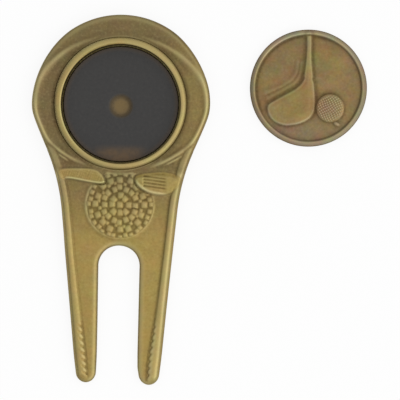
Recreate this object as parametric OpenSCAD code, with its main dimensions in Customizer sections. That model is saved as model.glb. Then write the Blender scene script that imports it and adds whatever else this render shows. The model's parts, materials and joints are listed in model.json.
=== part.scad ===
// Divot repair tool: a cast two-prong fork with a magnetic seat for a coin-like ball marker.
// Millimetres. The fork lies on its flat back at Z = 0 with its face up (+Z), its head towards +Y and its
// prongs towards -Y. The origin is on the back, under the centre of the marker's seat. The marker is
// shown taken off, lying beside the head.

/* [Ball marker] */
// Diameter of the ball marker
marker_d = 25; // [22:0.5:27]
// Thickness of the marker over its rim
marker_t = 1.6; // [1.2:0.1:3]
// Width of the marker's raised rim
marker_rim_w = 1.2; // [0.6:0.1:2]
// Depth of the marker's field below its rim
marker_sink = 0.35; // [0.2:0.05:0.5]
// Bevel on the marker's edges
marker_bevel = 0.2; // [0.1:0.05:0.3]
// Gap between the head and the loose marker beside it
marker_gap = 8.45; // [2:0.05:40]
// Distance of the loose marker's centre above the seat's centre
marker_lift_y = 4; // [-30:0.5:30]

/* [Marker relief] */
// Height of the relief above the marker's field
driver_rise = 0.28; // [0.1:0.02:0.34]
// Length of the driver head on the marker, heel to toe
driver_l = 10.4; // [7:0.1:11]
// Depth of the driver head, crown to sole
driver_h = 6.8; // [4:0.1:7]
// Tilt of the driver head, toe down
driver_tilt = 12; // [0:1:25]
// Distance of the driver head's middle to the left of the marker's centre
driver_x = 3.7; // [2:0.1:5]
// Distance of the driver head's middle below the marker's centre
driver_y = 4.2; // [3:0.1:6]
// Distance of the driver's neck above the marker's centre
driver_neck_y = 1.6; // [0:0.1:3]
// Width of the driver's neck
driver_neck_w = 1.9; // [1.2:0.1:2.6]
// Width of the shaft at the marker's rim
driver_shaft_w = 1; // [0.6:0.1:1.6]
// Diameter of the ball on the marker
marker_ball_d = 5.8; // [4:0.1:6.4]
// Distance of that ball's centre to the right of the marker's centre
marker_ball_x = 4.7; // [4:0.1:6]
// Distance of that ball's centre below the marker's centre
marker_ball_y = 4.1; // [3:0.1:6]
// Height of that ball's edge above the marker's field
marker_ball_edge = 0.1; // [0.05:0.05:0.15]

/* [Seat and magnet] */
// Gap all round between the marker and its seat
marker_clearance = 0.2; // [0.1:0.05:0.45]
// Width of the raised rim round the seat
rim_w = 1.35; // [0.8:0.05:2]
// Height of the rim above the seated marker
rim_rise = 0.2; // [0:0.05:0.8]
// Bevel on the rim's inner and outer edge
rim_bevel = 0.3; // [0.1:0.05:0.38]
// Width of the ledge between the magnet's pocket and the seat's wall
ledge_w = 0.4; // [0.2:0.05:1]
// Thickness of the magnet
magnet_t = 1; // [0.6:0.1:2]
// Diameter of the hole in the magnet
magnet_hole_d = 4.2; // [2:0.1:8]
// Distance of that hole below the magnet's centre
magnet_hole_drop = 0.4; // [0:0.1:2]
// Gap all round between the magnet and its pocket
magnet_clearance = 0.1; // [0.05:0.05:0.3]
// Thickness of the glue under the magnet
glue_t = 0.1; // [0.05:0.05:0.3]
// Distance of the glue from the magnet's edges
glue_inset = 0.3; // [0.1:0.1:1]
// Thickness of metal under the magnet
floor_t = 1; // [0.8:0.1:2]

/* [Head] */
// Diameter of the round head
head_d = 38.1; // [36:0.1:44]
// Thickness of the casting at its plain field
field_t = 3.1; // [2.4:0.1:5]
// Width of the eased step round the outline
edge_w = 0.35; // [0.2:0.05:0.6]
// Depth of the eased step round the outline
edge_drop = 0.5; // [0.2:0.1:1]
// Distance from that step to the crown's edge
crown_inset = 0.2; // [0.1:0.05:0.4]
// Distance of the oval border from the head's sides
oval_inset = 0.85; // [0.7:0.05:2]
// Width of the oval border
oval_w = 0.7; // [0.4:0.1:1.2]
// Height of the oval border above the field
oval_rise = 0.45; // [0.3:0.05:0.8]
// Height of the plain crown outside the oval above the field
crown_rise = 0.3; // [0.1:0.05:0.5]
// Width of the crown's band below the oval
crown_band = 0.9; // [0.4:0.1:2]

/* [Fork] */
// Distance from the seat's centre to the prong tips
reach = 59.9; // [52:0.1:80]
// Thickness of the prongs at their tips
tip_t = 1.8; // [1.4:0.1:3]
// Radius of the rounded prong tips
tip_r = 2.25; // [1.8:0.05:3]
// Width of the slot between the prongs
slot_w = 8.7; // [6:0.1:10]
// Distance from the seat's centre to the top of the slot
slot_y = 30.2; // [29.5:0.1:40]
// Distance below the seat's centre at which the head turns into the shoulders
shoulder_y = 2.25; // [1:0.05:6]
// Half the width where the shoulder line and the prong line cross
waist_half_w = 13; // [12.5:0.1:15]
// Distance from the seat's centre to that crossing
waist_y = 16; // [14:0.1:18]
// Radius of the waist's inward curve
waist_r = 43; // [20:1:60]
// Distance from the seat's centre at which the face starts to slope to the tips
slope_y = 24; // [20:0.5:40]

/* [Fork relief] */
// Distance from the seat's centre to the upper end of the raised side strips
strip_y = 6; // [5:0.1:9]
// Distance from the eased step round the outline to the strips
strip_inset = 0.1; // [0.05:0.05:0.4]
// Distance from the outline to the inner edge of the strips, which are the two club shafts
strip_w = 1.9; // [1.2:0.1:2.5]
// Height of the strips above the face
strip_rise = 0.5; // [0.3:0.05:0.8]
// Height of the club heads above the face
club_rise = 0.58; // [0.3:0.02:0.9]
// Distance from the outline to the inner edge of the grips at the prong tips
grip_w = 2.4; // [1.6:0.1:3]
// Length of the grips
grip_l = 11.4; // [6:0.1:16]
// Number of wraps on each grip
grip_wraps = 8; // [4:1:12]
// Width of the groove between two wraps
wrap_groove_w = 0.4; // [0.2:0.05:0.6]
// Depth of the groove between two wraps
wrap_groove_t = 0.2; // [0.1:0.05:0.3]
// Slant of the wraps
wrap_slant = 35; // [15:1:60]
// Diameter of the golf ball
ball_d = 14.9; // [12:0.1:15.5]
// Distance from the seat's centre to the ball's centre
ball_y = 21.2; // [20.5:0.1:22]
// Height of the ball's middle above the face
ball_rise = 0.6; // [0.4:0.05:1]
// Height of the ball's edge above the face
ball_edge_rise = 0.15; // [0.1:0.05:0.3]
// Distance between the ball's pads
pad_pitch = 1.75; // [1.5:0.05:2.2]
// Width of a pad on the ball
pad_w = 1.15; // [0.8:0.05:1.3]
// Height of a pad above the ball
pad_rise = 0.15; // [0.1:0.05:0.3]
// Length of the iron head from the left strip to its toe
iron_l = 8.6; // [6:0.1:9]
// Height of the iron head at its heel
iron_heel_h = 1.7; // [1:0.1:3]
// Height of the iron head at its toe
iron_toe_h = 3; // [2:0.1:4]
// Distance from the seat's centre to the iron's top line
iron_y = 13.9; // [13:0.1:16]
// Length of the wood head from the right strip to its toe
wood_l = 9; // [6:0.1:9.5]
// Height of the wood head
wood_h = 5; // [3:0.1:6]
// Distance from the seat's centre to the wood head's middle
wood_y = 16.5; // [15.5:0.1:18]
// Number of score lines on the wood's face
score_lines = 4; // [2:1:6]
// Length of a score line
score_l = 4.5; // [2:0.1:6]
// Width of a score line
score_w = 0.3; // [0.2:0.05:0.5]
// Depth of a score line
score_t = 0.15; // [0.1:0.05:0.25]

/* [Hidden] */
$fn = 96;

brass = "#8f7a45";
magnet_grey = "#414143";
glue_amber = "#b9a878";

marker_r = marker_d / 2;
head_r = head_d / 2;
seat_r = marker_r + marker_clearance;
rim_r = seat_r + rim_w;
pocket_r = seat_r - ledge_w;
magnet_r = pocket_r - magnet_clearance;
magnet_z = floor_t + glue_t;
seat_z = magnet_z + magnet_t;
rim_z = seat_z + marker_t + rim_rise;
marker_field_z = marker_t - marker_sink;
marker_field_r = marker_r - marker_rim_w;
marker_x = head_r + marker_gap + marker_r;

// Relief starts inside the metal at this height, so that it is one solid with the casting
root_z = floor_t / 2;
marker_root_z = marker_field_z / 2;
// Cutters and slabs run past what they cut by this much
over = 1;
// Steps on the curved stretches of an outline
head_steps = 90;
curve_steps = 10;
oval_steps = 96;

// Turns a point given as distance from the centre line and distance below the seat's centre into XY
function at(side, down) = [side, -down];
function mirrored(points) = [for (i = [len(points) - 1 : -1 : 0]) [-points[i].x, points[i].y]];
function oval(half_w, half_h) =
    [for (i = [0 : oval_steps - 1])
        [half_w * cos(360 * i / oval_steps), half_h * sin(360 * i / oval_steps)]];

// Outer edge of the fork: the shoulder line, an arc round the waist, then the prong line, which is the
// tangent from the waist's crossing point to the tip's circle
shoulder_angle = asin(shoulder_y / head_r);
shoulder_x = head_r * cos(shoulder_angle);
shoulder_lean = atan2(shoulder_x - waist_half_w, waist_y - shoulder_y);
tip_x = slot_w / 2 + tip_r;
tip_y = reach - tip_r;
tip_away = norm([waist_half_w - tip_x, tip_y - waist_y]);
prong_lean = atan2(waist_half_w - tip_x, tip_y - waist_y) - asin(tip_r / tip_away);
waist_run = waist_r * tan((shoulder_lean - prong_lean) / 2);
curve_top = waist_y - waist_run * cos(shoulder_lean);
curve_end = waist_y + waist_run * cos(prong_lean);
curve_x = waist_half_w + waist_run * sin(shoulder_lean) + waist_r * cos(shoulder_lean);
curve_y = curve_top + waist_r * sin(shoulder_lean);
prong_end = tip_y + tip_r * sin(prong_lean);
slot_centre = slot_y + slot_w / 2;

// Half the fork's width at a distance below the seat's centre
function edge_x(down) =
    down < curve_top ? waist_half_w + (waist_y - down) * tan(shoulder_lean) :
    down > curve_end ? waist_half_w - (down - waist_y) * tan(prong_lean) :
    curve_x - sqrt(waist_r * waist_r - (down - curve_y) * (down - curve_y));

waist_downs = [for (i = [0 : curve_steps]) curve_top + (curve_end - curve_top) * i / curve_steps];

// The whole outline, drawn in by inset
function right_edge(inset) = [for (down = concat(waist_downs, [prong_end])) at(edge_x(down) - inset, down)];
function right_tip(inset) =
    [for (i = [1 : curve_steps])
        let (turn = prong_lean + (180 - prong_lean) * i / curve_steps)
        at(tip_x + (tip_r - inset) * cos(turn), tip_y + (tip_r - inset) * sin(turn))];
function slot_top(inset) =
    [for (i = [0 : 2 * curve_steps])
        let (turn = 90 * i / curve_steps)
        at((slot_w / 2 + inset) * cos(turn), slot_centre - (slot_w / 2 + inset) * sin(turn))];
function head_arc(inset) =
    [for (i = [0 : head_steps])
        let (turn = 180 + shoulder_angle - (180 + 2 * shoulder_angle) * i / head_steps)
        (head_r - inset) * [cos(turn), sin(turn)]];
function fork_outline(inset) =
    let (right = concat(right_edge(inset), right_tip(inset)))
    concat(head_arc(inset), right, slot_top(inset), mirrored(right));

// Height of the face at a distance below the seat's centre
face_fall = (field_t - tip_t) / (reach - slope_y);
function face_z(down) = down < slope_y ? field_t : field_t - face_fall * (down - slope_y);

// The space below the face raised by rise, down to the height bottom
module under_face(rise, bottom) {
    past = reach + over;
    rotate([90, 0, 90])
        linear_extrude(2 * head_d, center = true)
            polygon([
                [head_r + over, bottom], [head_r + over, field_t + rise],
                [-slope_y, field_t + rise], [-past, face_z(past) + rise], [-past, bottom]
            ]);
}

// A raised figure of the relief, from inside the metal to rise above the face
module raised(rise) {
    intersection() {
        translate([0, 0, root_z])
            linear_extrude(field_t + rise)
                children();
        under_face(rise, 0);
    }
}

module blank() {
    intersection() {
        linear_extrude(field_t + over)
            polygon(fork_outline(0));
        under_face(-edge_drop, -over);
    }
    raised(0)
        polygon(fork_outline(edge_w));
}

// The plain crown outside the oval, which ends below it in a narrow band
module crown() {
    half_w = head_r - oval_inset;
    raised(crown_rise)
        difference() {
            intersection() {
                polygon(fork_outline(edge_w + crown_inset));
                union() {
                    translate([-head_r, 0])
                        square([head_d, head_r]);
                    polygon(oval(half_w + crown_band, rim_r + crown_band + oval_w / 2));
                }
            }
            polygon(oval(half_w - oval_w / 2, rim_r + oval_w / 4));
        }
}

module oval_border() {
    half_w = head_r - oval_inset;
    raised(oval_rise)
        difference() {
            polygon(oval(half_w, rim_r + oval_w / 2));
            polygon(oval(half_w - oval_w, rim_r - oval_w / 2));
        }
}

module seat_rim() {
    rotate_extrude()
        polygon([
            [0, root_z], [rim_r, root_z], [rim_r, rim_z - rim_bevel],
            [rim_r - rim_bevel, rim_z], [0, rim_z]
        ]);
}

// The pocket for the magnet with the wider, bevelled seat for the marker above it
module seat_cut() {
    rotate_extrude()
        polygon([
            [0, floor_t], [pocket_r, floor_t], [pocket_r, seat_z], [seat_r, seat_z],
            [seat_r, rim_z - rim_bevel], [seat_r + rim_bevel + over, rim_z + over], [0, rim_z + over]
        ]);
}

// The raised strip along the right side: a club shaft that ends in a wrapped grip
module shaft_strip() {
    grip_y = tip_y - grip_l;
    outer = edge_w + strip_inset;
    downs = concat([strip_y], waist_downs, [grip_y]);
    raised(strip_rise)
        polygon(concat(
            [for (down = downs) at(edge_x(down) - outer, down)],
            [at(edge_x(tip_y) - outer, tip_y), at(edge_x(tip_y) - grip_w, tip_y)],
            [at(edge_x(grip_y) - grip_w, grip_y)],
            [for (i = [len(downs) - 1 : -1 : 0]) at(edge_x(downs[i]) - strip_w, downs[i])]
        ));
}

// Slanted grooves between the wraps of the right grip
module grip_grooves() {
    for (i = [1 : grip_wraps]) {
        down = tip_y - grip_l * (i - 0.5) / grip_wraps;
        translate([edge_x(down) - grip_w / 2, -down, face_z(down) + strip_rise - wrap_groove_t])
            rotate([0, 0, wrap_slant])
                translate([-grip_w, -wrap_groove_w / 2, 0])
                    cube([2 * grip_w, wrap_groove_w, over]);
    }
}

// A low dome with rows of square pads
module ball_relief() {
    crown_r = ball_d / 2;
    dome_t = ball_rise - ball_edge_rise;
    dome_r = (crown_r * crown_r + dome_t * dome_t) / (2 * dome_t);
    dome_z = face_z(ball_y) + ball_rise - dome_r;
    rows = floor(crown_r / pad_pitch);
    translate([0, -ball_y, 0])
        intersection() {
            translate([0, 0, root_z])
                cylinder(h = 2 * field_t, r = crown_r);
            union() {
                translate([0, 0, dome_z])
                    sphere(r = dome_r);
                for (i = [-rows : rows], j = [-rows : rows]) {
                    away = pad_pitch * norm([i, j]);
                    pad_z = dome_z + sqrt(dome_r * dome_r - away * away) + pad_rise;
                    if (away + pad_w / 2 < crown_r)
                        translate([pad_pitch * i - pad_w / 2, pad_pitch * j - pad_w / 2, root_z])
                            cube([pad_w, pad_w, pad_z - root_z]);
                }
            }
        }
}

// The iron head, from the left strip to its rounded toe beside the ball
module iron_relief() {
    heel_x = strip_w - edge_x(iron_y);
    toe_r = iron_toe_h / 2;
    toe_x = heel_x + iron_l - toe_r;
    raised(club_rise)
        polygon(concat(
            [at(heel_x - strip_w / 2, iron_y + iron_heel_h), at(heel_x - strip_w / 2, iron_y)],
            [for (i = [0 : curve_steps])
                let (turn = 90 * i / curve_steps)
                at(toe_x + toe_r * sin(turn), iron_y + toe_r * (1 - cos(turn)))],
            [at(toe_x + toe_r, iron_y + iron_toe_h)]
        ));
}

// The wood head, with score lines across its face
module wood_relief() {
    heel_x = edge_x(wood_y) - strip_w / 2;
    difference() {
        raised(club_rise)
            translate(at(heel_x - wood_l / 2, wood_y))
                polygon(oval(wood_l / 2, wood_h / 2));
        for (i = [1 : score_lines])
            translate([
                heel_x - wood_l / 2 - score_l / 2,
                -wood_y + wood_h * (i / (score_lines + 1) - 0.5) - score_w / 2,
                face_z(wood_y) + club_rise - score_t
            ])
                cube([score_l, score_w, over]);
    }
}

module fork_body() {
    color(brass)
        difference() {
            union() {
                blank();
                crown();
                oval_border();
                seat_rim();
                difference() {
                    shaft_strip();
                    grip_grooves();
                }
                mirror([1, 0, 0])
                    difference() {
                        shaft_strip();
                        grip_grooves();
                    }
                ball_relief();
                iron_relief();
                wood_relief();
            }
            seat_cut();
        }
}

module magnet_glue() {
    color(glue_amber)
        translate([0, 0, floor_t])
            difference() {
                cylinder(h = glue_t, r = magnet_r - glue_inset);
                translate([0, -magnet_hole_drop, -over])
                    cylinder(h = glue_t + 2 * over, d = magnet_hole_d + 2 * glue_inset);
            }
}

module magnet() {
    color(magnet_grey)
        translate([0, 0, magnet_z])
            difference() {
                cylinder(h = magnet_t, r = magnet_r);
                translate([0, -magnet_hole_drop, -over])
                    cylinder(h = magnet_t + 2 * over, d = magnet_hole_d);
            }
}

// The coin with its raised rim
module marker_blank() {
    rotate_extrude()
        polygon([
            [0, 0], [marker_r - marker_bevel, 0], [marker_r, marker_bevel],
            [marker_r, marker_t - marker_bevel], [marker_r - marker_bevel, marker_t],
            [marker_field_r + marker_bevel, marker_t], [marker_field_r, marker_t - marker_bevel],
            [marker_field_r, marker_field_z], [0, marker_field_z]
        ]);
}

// A driver whose shaft runs up to the rim, standing over a ball
module driver_relief() {
    heel = [-driver_x, -driver_y] + (driver_l - driver_neck_w) / 2 * [cos(driver_tilt), sin(driver_tilt)];
    shaft_end = marker_field_r + marker_rim_w / 2;
    translate([0, 0, marker_root_z])
        linear_extrude(marker_field_z + driver_rise - marker_root_z) {
            translate([-driver_x, -driver_y])
                rotate(driver_tilt)
                    polygon(oval(driver_l / 2, driver_h / 2));
            polygon([
                [-driver_shaft_w / 2, shaft_end], [driver_shaft_w / 2, shaft_end],
                [driver_neck_w / 2, driver_neck_y], heel, [-driver_x, -driver_y],
                [-driver_neck_w / 2, driver_neck_y]
            ]);
        }
}

module marker_ball_relief() {
    ball_r = marker_ball_d / 2;
    dome_t = marker_sink - marker_ball_edge;
    dome_r = (ball_r * ball_r + dome_t * dome_t) / (2 * dome_t);
    translate([marker_ball_x, -marker_ball_y, 0])
        intersection() {
            translate([0, 0, marker_root_z])
                cylinder(h = marker_t, r = ball_r);
            translate([0, 0, marker_t - dome_r])
                sphere(r = dome_r);
        }
}

module ball_marker() {
    color(brass)
        translate([marker_x, marker_lift_y, 0]) {
            marker_blank();
            driver_relief();
            marker_ball_relief();
        }
}

fork_body();
magnet_glue();
magnet();
ball_marker();
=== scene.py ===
"""Looks of a divot repair tool: a cast antique-brass fork, its ring magnet and its loose ball marker."""

import json
import math
from types import SimpleNamespace

import bpy
import numpy as np
from bpy.props import FloatProperty, FloatVectorProperty, PointerProperty
from bpy.types import Operator, Panel, PropertyGroup
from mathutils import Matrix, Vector
from mathutils.geometry import delaunay_2d_cdt


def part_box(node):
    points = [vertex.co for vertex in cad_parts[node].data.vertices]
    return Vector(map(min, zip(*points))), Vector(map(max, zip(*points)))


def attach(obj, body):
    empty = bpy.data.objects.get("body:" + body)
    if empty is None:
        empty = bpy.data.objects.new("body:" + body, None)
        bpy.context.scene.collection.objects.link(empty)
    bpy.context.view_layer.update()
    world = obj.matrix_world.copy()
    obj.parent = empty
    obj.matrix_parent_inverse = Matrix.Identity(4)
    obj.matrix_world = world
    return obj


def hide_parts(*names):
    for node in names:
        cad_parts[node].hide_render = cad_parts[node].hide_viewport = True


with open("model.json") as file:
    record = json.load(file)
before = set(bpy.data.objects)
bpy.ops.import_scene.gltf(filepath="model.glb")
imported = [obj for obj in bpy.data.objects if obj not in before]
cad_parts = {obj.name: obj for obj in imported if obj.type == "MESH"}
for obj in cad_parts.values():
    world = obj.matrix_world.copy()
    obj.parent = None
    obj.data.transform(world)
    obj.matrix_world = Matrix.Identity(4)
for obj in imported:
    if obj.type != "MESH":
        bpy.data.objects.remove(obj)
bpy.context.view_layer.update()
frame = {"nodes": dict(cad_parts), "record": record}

bl_info = {
    "name": "Divot repair tool",
    "version": (1, 0, 0),
    "blender": (4, 5, 0),
    "location": "View3D > Sidebar > Divot tool",
    "description": "Builds a cast antique-brass divot tool with its magnet and its loose ball marker",
    "category": "Add Mesh",
}

FORK_LOW, FORK_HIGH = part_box("fork_body")
MAGNET_LOW, MAGNET_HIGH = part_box("magnet")
MARKER_LOW, MARKER_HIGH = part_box("ball_marker")
MOUNTS = {mount["name"]: mount for mount in frame["record"]["mounts"]}

# Shapes are drawn in millimetres and scaled once, when a mesh is made
MM = 0.001
TAU = 2 * math.pi

# Spacing of mesh points along the fork's edge, over its plain face and over fine relief
EDGE_SPACING = 0.26
FACE_SPACING = 0.21
DETAIL_SPACING = 0.135
# Spacing of mesh points along the driver, over the marker's ball and over its field
DRIVER_SPACING = 0.16
PEBBLE_SPACING = 0.1
FIELD_SPACING = 0.18
# Points in each ring of the seat, the marker and the magnet
SEAT_STEPS = 360
MARKER_STEPS = 300
MAGNET_STEPS = 240
# The seat's rings meet the rest of the face at this radius
SEAT_JOIN = 15.0
# Edges that turn by more than this stay sharp
CREASE = math.radians(50)

# Outlines of the relief figures, as points on a smooth closed curve, seen on the face
IRON_OUTLINE = (
    (-13.2, -15.3), (-13.2, -14.5), (-12.85, -14.02), (-12.1, -13.84), (-10.7, -13.72), (-9.0, -13.68),
    (-7.1, -13.7), (-5.8, -13.82), (-4.85, -14.14), (-4.1, -14.72), (-3.5, -15.46), (-3.17, -16.22),
    (-3.2, -16.76), (-3.65, -17.02), (-4.6, -17.06), (-6.2, -16.86), (-7.8, -16.58), (-9.0, -16.36),
    (-10.2, -16.16), (-11.2, -16.1), (-12.0, -16.3), (-12.7, -16.05),
)
WOOD_OUTLINE = (
    (3.1, -15.95), (3.35, -15.25), (4.25, -14.86), (5.6, -14.6), (7.25, -14.4), (8.75, -14.3),
    (10.25, -14.4), (11.7, -14.75), (12.8, -15.35), (13.15, -16.05), (12.9, -16.95), (12.35, -17.8),
    (11.6, -18.5), (10.75, -19.06), (9.3, -19.3), (7.7, -19.24), (6.4, -18.98), (5.3, -18.54),
    (4.3, -17.92), (3.5, -17.1),
)
DRIVER_OUTLINE = (
    (-0.54, 11.54), (-0.6, 8.5), (-0.8, 5.2), (-1.05, 3.2), (-1.13, 2.6), (-1.1, 2.05), (-1.48, 1.26),
    (-2.15, 0.5), (-3.23, -0.34), (-4.76, -1.18), (-6.06, -1.9), (-7.28, -2.62), (-8.38, -3.32),
    (-8.82, -4.0), (-8.84, -4.9), (-8.42, -6.08), (-7.7, -6.97), (-6.68, -7.66), (-5.0, -8.16),
    (-3.46, -8.08), (-2.08, -7.82), (-0.7, -7.24), (0.4, -6.5), (1.16, -5.46), (1.5, -4.28),
    (1.55, -2.9), (1.45, -0.9), (1.25, 1.02), (0.98, 2.0), (1.05, 2.6), (0.86, 4.4), (0.66, 7.0),
    (0.54, 11.54),
)
# Courses of the swing lines on the marker, from the shaft down to the driver's heel side
SWING_LINES = (
    ((-2.32, 5.54), (-2.62, 3.49), (-3.52, 1.89), (-5.22, 0.68), (-7.32, -0.36), (-9.12, -1.16)),
    ((-1.52, 5.34), (-1.77, 3.34), (-2.62, 1.59), (-4.42, 0.19), (-6.52, -1.06), (-8.67, -2.16)),
)
# Rings of pads on the ball: radius of the ring, number of pads, half a pad's width, turn in pads, height
PAD_RINGS = (
    (0, 1, 0.78, 0, 1), (1.75, 8, 0.78, 0, 1), (3.45, 16, 0.74, 0, 1), (4.42, 16, 0.46, 0.5, 0.75),
    (5.12, 16, 0.79, 0, 1), (6.48, 32, 0.6, 0, 0.9),
)
# Tones of the magnet's motes and pits and of the glue's darker patches, as linear colours
MAGNET_MOTE = (0.09, 0.086, 0.083, 1)
MAGNET_PIT = (0.03, 0.03, 0.032, 1)
GLUE_AMBER = (0.3, 0.2, 0.07, 1)
# Masks that every mesh carries for its finish: hollow lays patina and painted shade, worn lays wear and
# painted highlights, tarnish lays browning that is painted lighter where the light from the right falls
MASK_LAYERS = ("hollow", "worn", "tarnish")


def length(name, description, millimetres):
    """A size property, kept in metres and given in millimetres."""
    return FloatProperty(
        name=name, description=description, default=millimetres * MM, unit="LENGTH", precision=5
    )


def share(name, description, default):
    """A plain factor property."""
    return FloatProperty(name=name, description=description, default=default, subtype="FACTOR")


def angle(name, description, degrees):
    """An angle property, given in degrees."""
    return FloatProperty(
        name=name, description=description, default=math.radians(degrees), subtype="ANGLE"
    )


def linear(value):
    """One sRGB channel from 0 to 255 as a linear value."""
    value = value / 255
    return value / 12.92 if value <= 0.04045 else ((value + 0.055) / 1.055) ** 2.4


def colour(name, description, red, green, blue):
    """A colour property, given as sRGB values from 0 to 255."""
    channels = (linear(red), linear(green), linear(blue), 1)
    return FloatVectorProperty(
        name=name, description=description, default=channels, size=4, subtype="COLOR", min=0, max=1
    )


class ForkSizes(PropertyGroup):
    """Plan, edges and thickness of the casting."""

    head_radius: length("Head radius", "Radius of the round head", FORK_HIGH.x / MM)
    shoulder_drop: length("Shoulder drop", "Where the head's arc ends, below the seat's centre", 2.25)
    shoulder_ease: length("Shoulder ease", "How softly the head's arc turns into the shoulder", 0.3)
    waist_half_width: length("Waist half width", "Where the shoulder and prong lines cross", 13)
    waist_drop: length("Waist drop", "Depth of that crossing below the seat's centre", 16)
    waist_radius: length("Waist radius", "Radius of the hollow curve at the waist", 43)
    reach: length("Reach", "From the seat's centre to the tips of the prongs", -FORK_LOW.y / MM)
    tip_radius: length("Tip radius", "Radius of the prongs' round tips", 2.25)
    slot_width: length("Slot width", "Width of the gap between the prongs", 8.7)
    slot_drop: length("Slot drop", "Top of the gap below the seat's centre", 30.2)
    face_height: length("Face height", "Thickness of the plain face on the head", 3.1)
    tip_height: length("Tip height", "Thickness at the tips of the prongs", 1.8)
    slope_drop: length("Slope drop", "Where the face starts to slope towards the tips", 24)
    edge_width: length("Edge width", "Width of the rounding along the edges of the face", 1.0)
    edge_drop: length("Edge drop", "Depth of that rounding", 0.5)
    back_round: length("Back rounding", "Rounding of the edge of the back", 0.25)
    left_flat: length("Left flat", "Depth of the flat at the head's upper left", 0.25)
    right_flat: length("Right flat", "Depth of the flat at the head's upper right", 0.2)
    left_spread: length("Left spread", "How far the left prong's tip leans out", 0.18)
    right_spread: length("Right spread", "How much the right prong widens towards its tip", 0.2)
    slot_spread: length("Slot spread", "How much wider the slot is at its top right", 0.13)
    tip_draw: length("Tip draw", "How far the tips are drawn in on either side", 0.25)
    left_short: length("Left tip short", "How much shorter the left prong was cast", 0.38)


class SeatSizes(PropertyGroup):
    """The marker's seat with its raised rim and the magnet's pocket."""

    seat_radius: length("Seat radius", "Inner radius of the seat", MOUNTS["marker_seat"]["dims"]["r_mm"])
    rim_top: length("Rim top", "Height of the rim's crest", FORK_HIGH.z / MM)
    rim_crest: length("Rim crest", "Radius of the rim's crest", 13.1)
    rim_foot: length("Rim foot", "Outer radius of the rim's foot", 14.22)
    rim_left: length("Rim shift left", "How far left of the seat's centre the rim's outer side lies", 0.08)
    rim_up: length("Rim shift up", "How far above the seat's centre the rim's outer side lies", 0.1)
    lip_drop: length("Lip drop", "How far the rim rolls over towards the seat", 0.22)
    groove_depth: length("Groove depth", "Depth of the groove round the rim's foot", 0.04)
    bottom_height: length("Bottom height", "Height of the magnet's face in the seat", MAGNET_HIGH.z / MM)
    pocket_radius: length("Pocket radius", "Radius of the magnet's pocket", 12.3)
    floor_height: length("Floor height", "Metal below the magnet's pocket", 1)
    ledge_drop: length("Ledge drop", "How far the ledge lies below the face of the magnet", 0.4)


class ReliefSizes(PropertyGroup):
    """The raised ornament on the face of the fork."""

    oval_half_width: length("Oval half width", "Half the width of the oval border", 18.82)
    oval_half_height: length("Oval half height", "Half the height of the oval border", 14.07)
    oval_swell: length("Oval swell", "How much the oval's upper half outgrows its mean size", 0.12)
    oval_shift: length("Oval shift", "How far the oval's upper half lies to the left", 0.2)
    oval_rise: length("Oval rise", "Height of the oval border line", 0.2)
    oval_flank: length("Oval flank", "Half the width of the border line", 0.36)
    oval_margin: length("Oval margin", "From the head's edge to the border line beside it", 0.66)
    band_width: length("Band width", "From the border line to the short line below it", 0.76)
    shaft_drop: length("Shaft drop", "Where the shafts along the edges start", 8)
    shaft_margin: length("Shaft margin", "From the edge to the foot of a shaft", 0.2)
    shaft_half_width: length("Shaft half width", "Half the width of a shaft at its club head", 0.83)
    shaft_rise: length("Shaft rise", "Height of a shaft above the face", 0.34)
    grip_drop: length("Grip drop", "Where the grips start", 47)
    grip_half_width: length("Grip half width", "Half the width of a grip", 1.2)
    grip_pitch: length("Grip pitch", "From one wrap of a grip to the next", 1.47)
    wrap_depth: length("Wrap depth", "Depth of the grooves between the wraps", 0.075)
    wrap_lean: share("Wrap lean", "How far the wraps slant along the grip, per width", 0.52)
    club_rise: length("Club rise", "Height of the club heads above the face", 0.32)
    score_depth: length("Score depth", "Depth of the score lines", 0.12)
    ball_x: length("Ball place X", "Centre of the ball from the centre line", 0.08)
    ball_drop: length("Ball drop", "Centre of the ball below the seat's centre", 21.48)
    ball_radius: length("Ball radius", "Radius of the ball with its border", 7.4)
    ball_top: length("Ball top", "Where the ball is cut off under the head", 14.6)
    ball_rise: length("Ball rise", "Height of the ball's dome", 0.3)
    border_rise: length("Border rise", "Height of the border round the ball", 0.14)
    ball_stretch: share("Ball stretch", "How much taller than wide the pattern of pads is", 1.05)
    pad_rise: length("Pad rise", "Height of the pads on the ball", 0.16)
    pad_stray: length("Pad stray", "How far the pads stray from even rings", 0.2)


class MarkerSizes(PropertyGroup):
    """The loose coin and its relief."""

    rim_width: length("Rim width", "Width of the raised rim", 1.45)
    rim_crest: length("Rim crest", "From the edge to the rim's crest", 0.85)
    rim_fall: length("Rim fall", "How far the rim slopes down to the edge", 0.16)
    sink: length("Sink", "Depth of the field below the rim", 0.35)
    edge_round: length("Edge rounding", "Rounding of the coin's edges", 0.2)
    driver_rise: length("Driver rise", "Height of the driver above the field", 0.28)
    swing_rise: length("Swing line rise", "Height of the swing lines", 0.05)
    ball_x: length("Ball place X", "Ball's centre, to the right of the coin's", 4.7)
    ball_y: length("Ball place Y", "Ball's centre, above the coin's", -4.26)
    ball_radius: length("Ball radius", "Radius of the ball", 3.05)
    ball_rise: length("Ball rise", "Height of the ball above the field", 0.3)
    pebble_pitch: length("Pebble pitch", "Spacing of the pebbles on the ball", 0.5)
    pebble_rise: length("Pebble rise", "Height of the pebbles", 0.1)
    tee_x: length("Tee place X", "Tee's centre, to the right of the coin's", 6.08)
    tee_y: length("Tee place Y", "Tee's centre, above the coin's", -7.56)


class MagnetSizes(PropertyGroup):
    """The bonded ring magnet in the seat."""

    hole_radius: length("Hole radius", "Radius of the hole in the middle", 2.1)
    hole_drop: length("Hole drop", "How far the hole lies below the centre", 0.4)
    dish: length("Dish", "How far the hole widens towards the top", 0.62)
    edge_round: length("Edge rounding", "Rounding of the magnet's edges", 0.05)


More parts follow.
